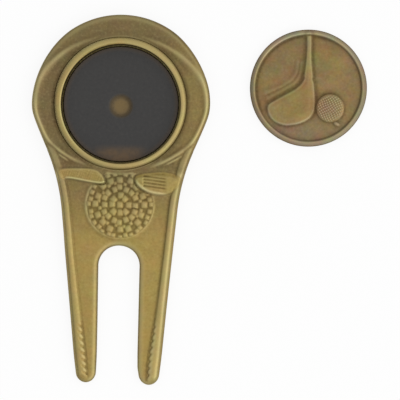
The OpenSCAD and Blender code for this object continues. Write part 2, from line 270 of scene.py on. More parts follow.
class FinishColours(PropertyGroup):
    """Colours of the finishes."""

    # The worn colours are laid on as wear and as painted highlights, the dark colours as patina and as
    # painted shade, and the tarnished brass as browning that is painted lighter where the light from the
    # right falls
    brass: colour("Brass", "Plain antique brass", 162, 139, 80)
    brass_worn: colour("Worn brass", "Brass rubbed bright on raised edges", 194, 181, 128)
    brass_tarnish: colour("Tarnished brass", "Browner brass on the head", 119, 103, 70)
    brass_dark: colour("Dark patina", "Patina in the recesses", 53, 40, 7)
    brass_mottle: share("Brass mottle", "How blotchy the brass is", 0.5)
    brass_hue: share("Brass hues", "How much the brass varies in hue", 0.13)
    plating: colour("Plating", "Plain antique plating of the marker", 143, 119, 73)
    plating_worn: colour("Worn plating", "Plating rubbed bright", 167, 157, 121)
    plating_tarnish: colour("Tarnished plating", "Browner plating", 122, 108, 93)
    plating_dark: colour("Dark plating", "Patina in the marker's recesses", 78, 62, 32)
    plating_mottle: share("Plating mottle", "How blotchy the plating is", 0.6)
    plating_hue: share("Plating hues", "How much the plating varies in hue", 0.32)
    magnet: colour("Magnet", "Bonded magnet", 62, 61, 60)
    # Browner tint of the magnet towards its lower edge and its outer edge
    magnet_tint: colour("Magnet stain", "Brown smear near the magnet's lower edge", 106, 84, 58)
    spot: colour("Spot", "Stain in the hole of the magnet", 120, 100, 64)
    glue: colour("Glue", "Dried glue under the magnet", 184, 168, 122)
    floor: colour("Floor", "Studio floor", 252, 252, 252)


class WearShares(PropertyGroup):
    """How strongly each form is rubbed bright or left dark, and how strong the painted highlights, painted
    shade and painted shadows are.
    """

    # The edge line and the edge rounding lay wear and painted highlights
    edge_line: share("Edge line", "Rubbed line inside the fork's edges", 0.28)
    edge_round: share("Edge rounding", "Wear on the rounding of the fork's edges", 0.4)
    # The rim slope lays painted light on the left of the rim's outer slope and on its foot
    rim_slope: share("Rim slope", "Wear on the outer slope of the seat's rim", 0.3)
    oval_ends: share("Oval ends", "Wear on the oval's upper ends", 0.16)
    # The club lines and the ball's top, border and pads lay wear and painted highlights
    club_lines: share("Club lines", "Wear on the lines of the club heads", 0.7)
    ball_top: share("Ball top", "Wear where the ball is cut off", 0.5)
    ball_border: share("Ball border", "Wear on the left of the ball's border", 0.3)
    ball_pads: share("Ball pads", "Wear on top of the ball's pads", 0.13)
    # The grips' shares lay painted highlights
    left_beads: share("Left grip", "Wear on the wraps of the left grip", 0.28)
    right_line: share("Right grip", "Wear along the right grip", 0.34)
    # The patina share also scales the fork's painted shade and painted shadow
    patina: share("Patina", "Patina of the fork as a whole", 0.88)
    pad_gaps: share("Pad gaps", "Patina between the ball's pads", 0.18)
    nooks: share("Nooks", "Patina between the rim and the oval", 0.2)
    left_foot: share("Left shaft's foot", "Patina along the left shaft", 0.16)
    right_foot: share("Right shaft's foot", "Patina along the right shaft", 0.24)
    # The driver's sole and the pebbles lay wear and painted highlights, the marker's crown a lighter upper
    # part of the rim
    driver_sole: share("Driver sole", "Wear on the driver's sole", 0.4)
    pebbles: share("Pebbles", "Wear on the pebbles of the marker's ball", 0.7)
    marker_crown: share("Marker crown", "Wear on the upper part of the marker's rim", 0.35)
    # The driver moat, swing field and ball shade lay painted shadow, the rim fall painted shade on the
    # marker rim's outer slope
    driver_moat: share("Driver moat", "Patina beside the driver", 0.32)
    swing_field: share("Swing field", "Patina round the swing lines", 0.14)
    ball_shade: share("Ball shade", "Patina at the upper left of the marker's ball", 0.3)
    rim_fall: share("Rim fall", "Patina on the marker's rim towards its edge", 0.22)


class StageSettings(PropertyGroup):
    """Camera, lights and floor."""

    field: length("Field", "Width of the picture at the object", 85.29)
    aim_x: length("Aim X", "Point of the face in the middle of the picture", 17.14)
    aim_y: length("Aim Y", "Point of the face in the middle of the picture", -20.23)
    aim_height: length("Aim height", "Height at which the field is measured", 2.5)
    lens: FloatProperty(name="Lens", description="Focal length", default=200, unit="CAMERA")
    roll: angle("Roll", "Turn of the camera about its axis", 0.77)
    zenith: share("Zenith", "Brightness of the room overhead", 0.97)
    horizon: share("Horizon", "Brightness of the room at eye level", 0.5)
    window: share("Window", "How much brighter the room is on the right than in the middle", 0.28)
    floor_glow: share("Floor glow", "How much of the floor's white is its own", 0.88)
    floor_reach: length("Floor reach", "Half the width of the floor", 4000)
    floor_gap: length("Floor gap", "How far the floor lies below the object", 0.02)
    softbox_width: length("Softbox width", "Width of the softbox", 1100)
    softbox_x: length("Softbox X", "Place of the softbox, to the right of the seat", 550)
    softbox_y: length("Softbox Y", "Place of the softbox, towards the head", -250)
    softbox_z: length("Softbox Z", "Height of the softbox", 900)
    softbox_power: FloatProperty(
        name="Softbox power", description="Power of the softbox", default=1.6, unit="POWER"
    )


def in_millimetres(group):
    """The sizes of a property group, in millimetres; angles and shares stay as they are."""
    values = {}
    for name, item in group.bl_rna.properties.items():
        if item.type == "FLOAT":
            value = getattr(group, name)
            values[name] = value / MM if item.unit == "LENGTH" else value
    return SimpleNamespace(**values)


def ease(value, low, high):
    """A smooth step from 0 at low to 1 at high."""
    part = np.clip((value - low) / (high - low), 0, 1)
    return part * part * (3 - 2 * part)


def fade(value, low, high):
    """A smooth step from 1 at low to 0 at high."""
    return 1 - ease(value, low, high)


def peak(value, centre, width):
    """A bell curve that is 1 at the centre."""
    return np.exp(-(((value - centre) / width) ** 2))


def bar(offset, flatness, steepness):
    """The profile of a rounded bar: 1 on its crest, 0 at its feet, which lie at -1 and 1."""
    return np.clip(1 - np.abs(offset) ** flatness, 0, 1) ** steepness


def soft_min(one, other, softness):
    """The smaller of two values, with the corner between them rounded off."""
    return np.minimum(one, other) - softness * np.log1p(np.exp(-np.abs(one - other) / softness))


def spline(knots, closed, steps=12):
    """A smooth curve through a few points."""
    knots = np.array(knots, float)
    if closed:
        before, after, beyond = (np.roll(knots, shift, axis=0) for shift in (1, -1, -2))
        start = knots
    else:
        padded = np.vstack([2 * knots[0] - knots[1], knots, 2 * knots[-1] - knots[-2]])
        before, start, after, beyond = padded[:-3], padded[1:-2], padded[2:-1], padded[3:]
    part = (np.arange(steps) / steps)[None, :, None]
    before, start, after, beyond = (side[:, None, :] for side in (before, start, after, beyond))
    curve = 0.5 * (
        2 * start
        + (after - before) * part
        + (2 * before - 5 * start + 4 * after - beyond) * part ** 2
        + (3 * start - before - 3 * after + beyond) * part ** 3
    ).reshape(-1, 2)
    return curve if closed else np.vstack([curve, knots[-1]])


def resample(loop, spacing):
    """The closed loop with points at an even spacing."""
    closed = np.vstack([loop, loop[:1]])
    run = np.concatenate([[0], np.cumsum(np.linalg.norm(np.diff(closed, axis=0), axis=1))])
    count = round(run[-1] / spacing)
    places = np.arange(count) * run[-1] / count
    return np.column_stack([np.interp(places, run, closed[:, axis]) for axis in (0, 1)])


def inward(loop):
    """Unit normals of an anticlockwise loop, pointing into it."""
    along = np.roll(loop, -1, axis=0) - np.roll(loop, 1, axis=0)
    normal = np.column_stack([-along[:, 1], along[:, 0]])
    return normal / np.linalg.norm(normal, axis=1)[:, None]


def circle(radius, count, centre=(0, 0)):
    """An anticlockwise circle of points."""
    turn = np.arange(count) * TAU / count
    return np.column_stack([centre[0] + radius * np.cos(turn), centre[1] + radius * np.sin(turn)])


def line_gap(x, y, course, far):
    """Distance from points to a course of straight steps, no more than far."""
    gap = np.full(x.shape, far, float)
    low = course.min(0) - far
    high = course.max(0) + far
    near = np.nonzero((x > low[0]) & (x < high[0]) & (y > low[1]) & (y < high[1]))
    spot_x, spot_y = x[near], y[near]
    best = np.full(spot_x.shape, far, float)
    for (x0, y0), (x1, y1) in zip(course[:-1], course[1:]):
        dx, dy = x1 - x0, y1 - y0
        part = np.clip(((spot_x - x0) * dx + (spot_y - y0) * dy) / (dx * dx + dy * dy), 0, 1)
        best = np.minimum(best, np.hypot(spot_x - x0 - part * dx, spot_y - y0 - part * dy))
    gap[near] = best
    return gap


def loop_inset(x, y, loop, far=2.0):
    """How far points lie inside a closed loop, negative outside it."""
    closed = np.vstack([loop, loop[:1]])
    gap = line_gap(x, y, closed, far)
    inside = np.zeros(x.shape, bool)
    for (x0, y0), (x1, y1) in zip(closed[:-1], closed[1:]):
        if y0 != y1:
            inside ^= ((y0 <= y) != (y1 <= y)) & (x < x0 + (y - y0) / (y1 - y0) * (x1 - x0))
    return np.where(inside, gap, -gap)


class ForkPlan:
    """The fork seen on its face: where its edges run and how far inside them a point lies."""

    # Bearing of the middle and half the spread of the flats at the head's upper left and right, in degrees
    LEFT_FLAT = (25, 30)
    RIGHT_FLAT = (31, 23)
    # Radius at which the flats start
    FLAT_START = 15.5
    # How far above their centres the tips start to draw in, and where the right prong's inner spread ends
    TIP_REACH = 6
    SPREAD_END = (56, 58)

    def __init__(self, fork):
        self.fork = fork
        shoulder_x = math.sqrt(fork.head_radius ** 2 - fork.shoulder_drop ** 2)
        self.shoulder_lean = math.atan2(
            shoulder_x - fork.waist_half_width, fork.waist_drop - fork.shoulder_drop
        )
        self.tip_x = fork.slot_width / 2 + fork.tip_radius
        self.tip_drop = fork.reach - fork.tip_radius
        side = fork.waist_half_width - self.tip_x
        down = self.tip_drop - fork.waist_drop
        self.prong_lean = math.atan2(side, down) - math.asin(fork.tip_radius / math.hypot(side, down))
        run = fork.waist_radius * math.tan((self.shoulder_lean - self.prong_lean) / 2)
        self.curve_top = fork.waist_drop - run * math.cos(self.shoulder_lean)
        self.curve_end = fork.waist_drop + run * math.cos(self.prong_lean)
        top_x = fork.waist_half_width + run * math.sin(self.shoulder_lean)
        self.curve_x = top_x + fork.waist_radius * math.cos(self.shoulder_lean)
        self.curve_drop = self.curve_top + fork.waist_radius * math.sin(self.shoulder_lean)
        self.slot_half = fork.slot_width / 2
        self.slot_centre = fork.slot_drop + self.slot_half

    def waist_gap(self, side, down, lean):
        """Distance inside a straight side that leans so and runs through the waist's corner."""
        fork = self.fork
        across, along = fork.waist_half_width - side, fork.waist_drop - down
        return across * math.cos(lean) + along * math.sin(lean)

    def side_inset(self, x, y):
        """Distance of points inside the sides, which run on past the tips."""
        fork = self.fork
        side, down = np.abs(x), -y
        head = fork.head_radius - np.hypot(side, down)
        upper = soft_min(head, self.waist_gap(side, down, self.shoulder_lean), fork.shoulder_ease)
        waist = np.hypot(side - self.curve_x, down - self.curve_drop) - fork.waist_radius
        inset = np.where(down < self.curve_end, waist, self.waist_gap(side, down, self.prong_lean))
        return np.where(down < self.curve_top, upper, inset)

    def outer_inset(self, x, y):
        """Distance of points inside the outer edge."""
        fork = self.fork
        side, down = np.abs(x), -y
        past = np.maximum(side - self.tip_x, 0) * math.tan(self.prong_lean)
        tip = fork.tip_radius - np.hypot(side - self.tip_x, down - self.tip_drop)
        return np.where(down - self.tip_drop > past, tip, self.side_inset(x, y))

    def slot_inset(self, x, y):
        """Distance of points from the slot's edge, with large values past the tips."""
        side, down = np.abs(x), -y
        above = np.hypot(side, np.minimum(down - self.slot_centre, 0)) - self.slot_half
        return np.where(down > self.tip_drop, self.fork.reach, above)

    def inset(self, x, y):
        """Distance of points inside the whole outline."""
        return np.minimum(self.outer_inset(x, y), self.slot_inset(x, y))

    def outline(self, spacing):
        """The whole outline, anticlockwise, with points at an even spacing."""
        fork = self.fork
        head_steps, waist_steps, tip_steps, slot_steps = 400, 100, 80, 60
        least_slant = 0.1
        top_x = self.curve_x - fork.waist_radius * math.cos(self.shoulder_lean)
        start = math.atan2(top_x, -self.curve_top)
        turn = np.linspace(0, start, head_steps)
        slant = np.maximum(np.sin(turn - self.shoulder_lean), least_slant)
        line = self.waist_gap(0, 0, self.shoulder_lean) / slant
        away = soft_min(np.full_like(turn, fork.head_radius), line, fork.shoulder_ease)
        head = np.column_stack([away * np.sin(turn), away * np.cos(turn)])
        turn = np.linspace(self.shoulder_lean, self.prong_lean, waist_steps)[1:]
        waist = np.column_stack([
            self.curve_x - fork.waist_radius * np.cos(turn),
            fork.waist_radius * np.sin(turn) - self.curve_drop,
        ])
        turn = np.linspace(self.prong_lean, math.pi, tip_steps)
        tip = np.column_stack([
            self.tip_x + fork.tip_radius * np.cos(turn), -self.tip_drop - fork.tip_radius * np.sin(turn)
        ])
        turn = np.linspace(0, math.pi / 2, slot_steps)
        slot = np.column_stack([
            self.slot_half * np.cos(turn), self.slot_half * np.sin(turn) - self.slot_centre
        ])
        right = np.vstack([head, waist, tip, slot])
        left = right[-2:0:-1] * (-1, 1)
        return resample(np.vstack([right, left])[::-1], spacing)

    def flats(self, x, y):
        """How far the head's upper sides are flattened, by the bearing of points."""
        bearing = np.degrees(np.arctan2(y, np.abs(x)))
        left, right = (
            depth * bar((bearing - middle) / half, flatness=2, steepness=1.5)
            for depth, (middle, half) in (
                (self.fork.left_flat, self.LEFT_FLAT), (self.fork.right_flat, self.RIGHT_FLAT),
            )
        )
        return np.where(x < 0, left, right)

    def as_cast(self, points):
        """The points moved as the casting differs from the plan: flats, spread prongs and drawn tips."""
        fork = self.fork
        x, y = points[:, 0], points[:, 1]
        left = x < 0
        away = np.hypot(x, y)
        flat = self.flats(x, y) * ease(away, self.FLAT_START, fork.head_radius)
        shrink = 1 - flat / np.maximum(away, 1)
        x, y = x * shrink, y * shrink
        side, down = np.abs(x), -y
        tip = (down - self.tip_drop + self.TIP_REACH) / (self.TIP_REACH + fork.tip_radius)
        tip = np.clip(tip, 0, 1) ** 2
        offset = (side - self.tip_x) / fork.tip_radius
        along = np.clip((down - fork.slot_drop) / (self.tip_drop - fork.slot_drop), 0, 1)
        inner = fork.slot_spread - (fork.slot_spread + fork.right_spread) * along
        inner = inner * fade(down, *self.SPREAD_END)
        outer = fork.right_spread * along ** 2
        right_spread = outer + (inner - outer) * np.clip((1 - offset) / 2, 0, 1)
        spread = np.where(left, fork.left_spread * (0.4 + 0.6 * along ** 2), right_spread)
        spread = spread * ease(down, fork.slot_drop - 4, fork.slot_drop + 2) * ease(side, 0, 3)
        side = side + spread - fork.tip_draw * tip * offset
        y = y + np.where(left, fork.left_short, 0) * tip
        return np.column_stack([np.where(left, -side, side), y, points[:, 2]])


class ForkRelief:
    """Heights of the fork's face, from the plan and the ornament's sizes."""

    # Over what stretch from the rim the oval's line rises, and how softly it bends along the head's edges
    OVAL_FADE_LEFT = 2.6
    OVAL_FADE_RIGHT = 1.6
    OVAL_BEND = 0.3
    # Half the width of the second lines, where they start on the left and on the right, and where they end
    SECOND_FLANK = 0.26
    SECOND_LEFT = (10.4, 12)
    SECOND_RIGHT = (8.8, 10.8)
    SECOND_END = (12.9, 13.9)
    # Where the shafts start to widen, and over what length
    WIDEN_DROP = 18
    WIDEN_RUN = 35
    # The groove at the rim's foot: how far past the foot it lies, and half its width
    GROOVE_PLACE = 0.12
    GROOVE_FLANK = 0.2
    # Heights on the iron: the line on its sole, its stipple and its sunk blade
    SOLE_RISE = 0.09
    STIPPLE_RISE = 0.025
    BLADE_SINK = 0.05
    # Heights on the wood: its crown, the line on its edge and its sunk plate
    CROWN_RISE = 0.12
    WOOD_RIM_RISE = 0.06
    PLATE_SINK = 0.04
    # Score lines on the wood: their number, start, pitch, slope and half their width
    SCORES = 4
    SCORE_X, SCORE_DROP = 5.4, 15.3
    SCORE_PITCH = 0.7
    SCORE_LEAN = 0.125
    SCORE_FLANK = 0.16

    def __init__(self, fork, seat, relief):
        self.fork = fork
        self.seat = seat
        self.relief = relief
        self.plan = ForkPlan(fork)
        self.fall = (fork.face_height - fork.tip_height) / (fork.reach - fork.slope_drop)
        self.iron = spline(IRON_OUTLINE, True)
        self.wood = spline(WOOD_OUTLINE, True)

    def face(self, y):
        """The plain face, which slopes down towards the tips."""
        return self.fork.face_height - self.fall * np.maximum(-y - self.fork.slope_drop, 0)

    @staticmethod
    def upper_half(y):
        """From 0 on the lower half of the head to 1 on its upper half."""
        return ease(y, -2, 2)

    def oval_gap(self, x, y):
        """Distance outside the oval border, negative inside it."""
        relief = self.relief
        upper = self.upper_half(y)
        swell = relief.oval_swell * (2 * upper - 1)
        half_width, half_height = relief.oval_half_width + swell, relief.oval_half_height + swell
        across = (x + relief.oval_shift * upper) / half_width
        along = y / half_height
        size = np.hypot(across, along)
        steep = np.hypot(across / half_width, along / half_height)
        return size * (size - 1) / np.maximum(steep, 1e-6)

    def oval(self, x, y):
        """The raised line round the oval and along the head's edges, with short second lines below it."""
        relief, rim_foot = self.relief, self.seat.rim_foot
        gap = self.oval_gap(x, y)
        side = np.abs(x)
        upper = self.upper_half(y)
        fading = np.where(x < 0, self.OVAL_FADE_LEFT, self.OVAL_FADE_RIGHT)
        clear = ease(np.hypot(x, y), rim_foot, rim_foot + fading)
        along = -soft_min(-gap, self.plan.side_inset(x, y) - relief.oval_margin, self.OVAL_BEND)
        flank = relief.oval_flank * (1.4 + 0.45 * upper)
        flank = np.where(along < 0, flank * (1 + 0.3 * upper), flank)
        line = peak(along, 0, flank) * (0.35 + 0.65 * clear) * (1 - 0.2 * upper)
        second = peak(gap, relief.band_width, self.SECOND_FLANK) * fade(side, *self.SECOND_END)
        left, right = 0.75 * ease(side, *self.SECOND_LEFT), 0.7 * ease(side, *self.SECOND_RIGHT)
        second = second * (1 - upper) * np.where(x < 0, left, right)
        return relief.oval_rise * np.maximum(line, second)

    def rim_away(self, x, y):
        """Distance from the centre of the rim's outer side."""
        return np.hypot(x + self.seat.rim_left, y - self.seat.rim_up)

    def rim(self, x, y):
        """The half-round outer side of the seat's rim, with a groove at its foot."""
        seat = self.seat
        away = self.rim_away(x, y)
        outward = np.maximum(away - seat.rim_crest, 0) / (seat.rim_foot - seat.rim_crest)
        swell = bar(outward, flatness=3, steepness=0.75)
        groove = peak(away - seat.rim_foot, self.GROOVE_PLACE, self.GROOVE_FLANK) * np.abs(x) / away
        groove = groove * (1 - 0.8 * peak(self.oval_gap(x, y), 0, 0.9))
        return (seat.rim_top - self.fork.face_height) * swell - seat.groove_depth * groove

    def shaft_half(self, x, y):
        """Half the width of a shaft, which widens towards its grip, later on the right."""
        relief = self.relief
        part = np.clip((-y - self.WIDEN_DROP) / self.WIDEN_RUN, 0, 1)
        part = np.where(x < 0, part ** 2, 0.1 + 0.9 * part ** 3)
        return relief.shaft_half_width + (relief.grip_half_width - relief.shaft_half_width) * part

    def shaft_foot_gap(self, x, y):
        """Distance past a shaft's inner foot, towards the middle of the fork."""
        return self.plan.side_inset(x, y) - self.relief.shaft_margin - 2 * self.shaft_half(x, y)

    def wraps(self, x, y):
        """Place across a shaft, from -1 to 1 at its inner foot, its grip, and the wave of the wraps."""
        relief = self.relief
        half = self.shaft_half(x, y)
        offset = self.shaft_foot_gap(x, y) / half + 1
        last = self.plan.tip_drop + np.where(x < 0, 1, 2)
        grip = ease(-y, relief.grip_drop - 1, relief.grip_drop + 1) * fade(-y, last - 0.8, last)
        phase = (-y - relief.wrap_lean * offset * half) / relief.grip_pitch
        return offset, grip, 0.5 + 0.5 * np.cos(TAU * phase)

    def shafts(self, x, y):
        """The club shafts along both edges, which widen into wrapped grips."""
        relief = self.relief
        past = -y - relief.shaft_drop
        offset, grip, wave = self.wraps(x, y)
        groove = grip * wave ** 2
        offset = offset + 0.16 * groove * ease(offset, 0, 1)
        bulge = relief.shaft_rise * bar(offset, flatness=2.4, steepness=0.75)
        across = np.where(x < 0, ease(offset, -0.2, 0.4), 0.7 * ease(offset, 0.4, 0.9))
        cut = relief.wrap_depth * groove * across
        start = ease(past, 0, 2) * (0.55 + 0.45 * ease(past, 5.5, 7.5))
        last = self.plan.tip_drop + np.where(x < 0, 1.6, 2.2)
        return np.maximum(bulge - cut, 0) * start * fade(-y, last - 2, last)

    @staticmethod
    def iron_sole(x, y, inset):
        """The line along the iron's sole."""
        lower = ease(-y - 0.14 * (x + 12), 15.0, 15.4)
        return peak(inset, 0.26, 0.25) * lower * ease(x, -12, -11)

    def iron_rise(self, x, y, inset):
        """The iron's blade, stippled, with a raised line along its sole."""
        stipple = np.sin(9.1 * x + 3.3 * y) * np.sin(7.7 * y - 4.1 * x + 1.3 * np.sin(2.9 * x))
        blade = self.relief.club_rise * ease(inset, -0.4, 0.5)
        blade = blade + self.SOLE_RISE * self.iron_sole(x, y, inset)
        return blade + (self.STIPPLE_RISE * stipple - self.BLADE_SINK) * ease(inset, 0.3, 0.6)

    @staticmethod
    def wood_rim(x, y, inset):
        """The line along the wood's lower left edge."""
        return peak(inset, 0.34, 0.36) * ease(-y - 0.45 * (x - 3), 15.6, 16.6)

    @staticmethod
    def wood_plate(x, inset):
        """The wood's face plate."""
        return ease(x, 4.8, 5.2) * fade(x, 9.2, 10.2) * ease(inset, 0.3, 0.6)

    def wood_rise(self, x, y, inset):
        """The wood's head, with a sunk face plate and its score lines."""
        lines = np.zeros_like(x)
        for number in range(self.SCORES):
            below = -y - self.SCORE_DROP - self.SCORE_PITCH * number
            gap = below - self.SCORE_LEAN * (x - self.SCORE_X)
            lines = np.maximum(lines, peak(gap, 0, self.SCORE_FLANK))
        soft = 0.6 + 0.9 * ease(y, -16.4, -15)
        head = self.relief.club_rise * ease(inset, -0.4, soft) + self.CROWN_RISE * ease(inset, 0.3, 1.8)
        head = head + self.WOOD_RIM_RISE * self.wood_rim(x, y, inset)
        return head - self.wood_plate(x, inset) * (self.PLATE_SINK + self.relief.score_depth * lines)

    def pads(self, x, y):
        """The rounded square pads of the ball, from 0 between them to 1 on top of them."""
        relief, stray = self.relief, self.relief.pad_stray
        side, up = x - relief.ball_x, (y + relief.ball_drop) / relief.ball_stretch
        away, turn = np.hypot(side, up), np.arctan2(up, side)
        pads = np.zeros_like(x)
        for radius, count, half, shift, height in PAD_RINGS:
            along, across = side, up
            if radius:
                step = TAU / count
                number = np.floor(turn / step - shift + 0.5)
                bearing = turn - (number + shift) * step
                order = number % count
                along = away * np.sin(bearing) - stray * np.cos(3.7 * order + radius)
                across = away * np.cos(bearing) - radius - stray * np.sin(2.4 * order + 5 * radius)
            size = (along ** 4 + across ** 4) ** 0.25
            pad = bar(np.minimum(size / half, 1), flatness=2.6, steepness=1)
            pads = np.maximum(pads, height * pad)
        return pads

    def ball(self, x, y):
        """A low dome with rings of rounded square pads inside a raised border."""
        relief = self.relief
        away = np.hypot(x - relief.ball_x, y + relief.ball_drop)
        inset = np.minimum(relief.ball_radius - away, -relief.ball_top - y)
        border = relief.border_rise * peak(inset, 0.24, 0.36 + 0.1 * ease(-x, 3, 6))
        dome = relief.ball_rise * (1 - 0.7 * (away / relief.ball_radius) ** 2)
        body = ease(inset, 0.15, 0.5) * (dome + relief.pad_rise * self.pads(x, y))
        return np.maximum(border, body)

    def club_insets(self, x, y):
        """How far points lie inside the iron and inside the wood."""
        return loop_inset(x, y, self.iron), loop_inset(x, y, self.wood)

    def figures(self, x, y):
        """The ball with the iron and the wood lying over it, in a narrow moat."""
        iron, wood = self.club_insets(x, y)
        clubs = np.maximum(self.iron_rise(x, y, iron), self.wood_rise(x, y, wood))
        moat = ease(-np.maximum(iron, wood), 0.05, 0.4)
        return np.maximum(clubs, moat * self.ball(x, y))

    def rise(self, x, y):
        """All ornament above the face."""
        raised = np.maximum(np.maximum(self.oval(x, y), self.shafts(x, y)), self.figures(x, y))
        rim = self.rim(x, y)
        return np.where(self.rim_away(x, y) < self.seat.rim_foot, rim, raised + np.minimum(rim, 0))

    def edge_fall(self, inset):
        """How far the rounding of the edges lowers the face."""
        fork = self.fork
        part = np.clip(1 - inset / fork.edge_width, 0, 1)
        return fork.edge_drop * (1 - np.sqrt(1 - part ** 2))

    def height(self, x, y):
        """Height of the finished face."""
        return self.face(y) + self.rise(x, y) - self.edge_fall(self.plan.inset(x, y))


def blur(field, width):
    """The field blurred by a bell curve of that width, in cells."""
    rows = np.fft.fftfreq(field.shape[0])[:, None]
    columns = np.fft.rfftfreq(field.shape[1])[None, :]
    bell = np.exp(-2 * (math.pi * width) ** 2 * (rows ** 2 + columns ** 2))
    return np.fft.irfft2(np.fft.rfft2(field) * bell, field.shape)


class ReliefMasks:
    """Masks of a face, from its relief; each face's own class says what its figures add."""

    # Cells of the grid of heights, and how far it reaches past the piece, so that its blur has room
    CELL = 0.1
    MARGIN = 4
    # Reach of the blur, depth at which a mask levels off and weight, for fine and for broad relief
    FINE = SimpleNamespace(reach=0.3, depth=0.04, weight=0.7)
    BROAD = SimpleNamespace(reach=0.9, depth=0.15, weight=0.2)
    SOFTNESS = 0.6

    def __init__(self, rise, low, high):
        self.low = np.array(low, float) - self.MARGIN
        count = np.ceil((np.array(high) + self.MARGIN - self.low) / self.CELL).astype(int) + 1
        across, along = (self.low[axis] + np.arange(count[axis]) * self.CELL for axis in (0, 1))
        x, y = np.meshgrid(across, along)
        field = rise(x, y)
        depths = [blur(field, scale.reach / self.CELL) - field for scale in (self.FINE, self.BROAD)]
        self.hollows = self.grade(*depths)
        self.crests = self.grade(*(-depth for depth in depths))

    def grade(self, fine, broad):
        """A mask that grows with the depth or the height and then levels off."""
        grown = sum(
            scale.weight * (1 - np.exp(-np.maximum(depth, 0) / scale.depth))
            for scale, depth in ((self.FINE, fine), (self.BROAD, broad))
        )
        return np.clip(blur(grown, self.SOFTNESS), 0, 1)

    def sample(self, field, at):
        """Values of a grid at points, between its cells."""
        column = np.clip((at.x - self.low[0]) / self.CELL, 0, field.shape[1] - 1.001)
        row = np.clip((at.y - self.low[1]) / self.CELL, 0, field.shape[0] - 1.001)
        i, j = row.astype(int), column.astype(int)
        v, u = row - i, column - j
        upper = field[i, j] * (1 - u) + field[i, j + 1] * u
        lower = field[i + 1, j] * (1 - u) + field[i + 1, j + 1] * u
        return upper * (1 - v) + lower * v

    def masks(self, x, y):
        """The three masks at points of the face."""
        at = self.survey(x, y)
        return {
            "hollow": np.clip(self.hollow(at), 0, 1),
            "worn": np.clip(self.worn(at), 0, 1),
            "tarnish": self.tarnish(at),
        }


class MeshDraft:
    """Points and faces of one piece, gathered ring by ring, with masks for its finish."""

    def __init__(self):
        self.points = []
        self.masks = []
        self.faces = []
        self.count = 0

    def add(self, xy, z, hollow=0.0, worn=0.0, tarnish=0.0):
        """Adds points and returns the number of the first."""
        start = self.count
        size = len(xy)
        z = np.broadcast_to(z, size)
        self.points.append(np.column_stack([xy, z]))
        self.masks.append(np.column_stack([np.broadcast_to(v, size) for v in (hollow, worn, tarnish)]))
        self.count += size
        return start

    def loft(self, rings, count):
        """Joins rings of the same count, one after the other, with quads."""
        here = np.arange(count)
        there = (here + 1) % count
        for first, second in zip(rings[:-1], rings[1:]):
            quads = np.column_stack([first + here, second + here, second + there, first + there])
            self.faces.extend(quads.tolist())

    def cap(self, start, count, flip=False):
        """Closes a ring with one face."""
        corners = list(range(start, start + count))
        self.faces.append(corners[::-1] if flip else corners)

    def fill(self, loops, inner=(), flip=False):
        """Fills the space between loops, given as (start, count), through the inner points."""
        points = np.vstack(self.points)
        indices = np.concatenate(
            [np.arange(start, start + count) for start, count in loops] + [np.asarray(inner, int)]
        )
        edges = []
        base = 0
        for start, count in loops:
            edges += [(base + i, base + (i + 1) % count) for i in range(count)]
            base += count
        flat = [Vector(point) for point in points[indices, :2]]
        result = delaunay_2d_cdt(flat, edges, [], 1, 1e-7)
        if len(result[0]) != len(flat):
            raise RuntimeError("filling a face moved or split its points")
        origin = np.array([sources[0] for sources in result[3]])
        faces = origin[np.array(result[2])]
        outer = loops[0][1]
        in_hole = ((faces >= outer) & (faces < base)).all(axis=1)
        corners = indices[faces[~in_hole]]
        self.faces.extend((corners[:, ::-1] if flip else corners).tolist())

    def build(self, name, material, crease):
        """Makes the object, with its masks as vertex attributes."""
        mesh = bpy.data.meshes.new(name)
        mesh.from_pydata((np.vstack(self.points) * MM).tolist(), [], self.faces)
        masks = np.vstack(self.masks)
        for column, title in enumerate(MASK_LAYERS):
            layer = mesh.attributes.new(title, "FLOAT", "POINT")
            layer.data.foreach_set("value", masks[:, column].astype(np.float32))
        mesh.shade_smooth()
        mesh.set_sharp_from_angle(angle=crease)
        mesh.materials.append(material)
        mesh.update()
        piece = bpy.data.objects.new(name, mesh)
        bpy.context.scene.collection.objects.link(piece)
        return piece


class PointBed:
    """Points for the inside of a face, none of them too close to another."""

    CELL = 0.04
    MARGIN = 1

    def __init__(self, low, high):
        self.box = (low, high)
        self.low = np.array(low, float) - self.MARGIN
        size = np.array(high) + self.MARGIN - self.low
        self.taken = np.zeros(np.ceil(size / self.CELL).astype(int), bool)

    def cells(self, points):
        """Grid cells of points."""
        return ((points - self.low) / self.CELL).astype(int)

    def block(self, points, radius):
        """Keeps later points away from these."""
        cells = self.cells(points)
        reach = int(math.ceil(radius / self.CELL))
        for i in range(-reach, reach + 1):
            for j in range(-reach, reach + 1):
                if math.hypot(i, j) * self.CELL <= radius:
                    self.taken[cells[:, 0] + i, cells[:, 1] + j] = True

    def lay(self, lines, spacings, gaps, allowed, detailed):
        """Points on lines, then on a fine honeycomb over the detail and on a coarse one elsewhere."""
        fine, coarse = (honeycomb(*self.box, spacing) for spacing in spacings)
        layers = [(line, gaps[0], None) for line in lines]
        layers += [(fine, gaps[1], True), (coarse, gaps[2], False)]
        kept = []
        for points, gap, wanted in layers:
            x, y = points.T
            inside = allowed(x, y)
            if wanted is not None:
                inside &= detailed(x, y) == wanted
            points = points[inside]
            cells = self.cells(points)
            kept.append(points[~self.taken[cells[:, 0], cells[:, 1]]])
            self.block(kept[-1], gap)
        return np.vstack(kept)


def honeycomb(low, high, spacing):
    """Evenly spread points over a box, in staggered rows."""
    rows = np.arange(low[1], high[1], spacing * math.sqrt(0.75))
    columns = np.arange(low[0], high[0], spacing)
    x = columns[None, :] + (np.arange(len(rows)) % 2)[:, None] * spacing / 2
    return np.column_stack([x.ravel(), np.repeat(rows, len(columns))])


def anticlockwise(loop):
    """The loop, turned round if it runs clockwise."""
    x, y = loop.T
    area = np.sum(x * np.roll(y, -1) - np.roll(x, -1) * y)
    return loop[::-1] if area < 0 else loop


def offset_lines(loop, gaps):
    """Copies of an anticlockwise loop at distances inside it."""
    normal = inward(loop)
    return [loop + normal * gap for gap in gaps]


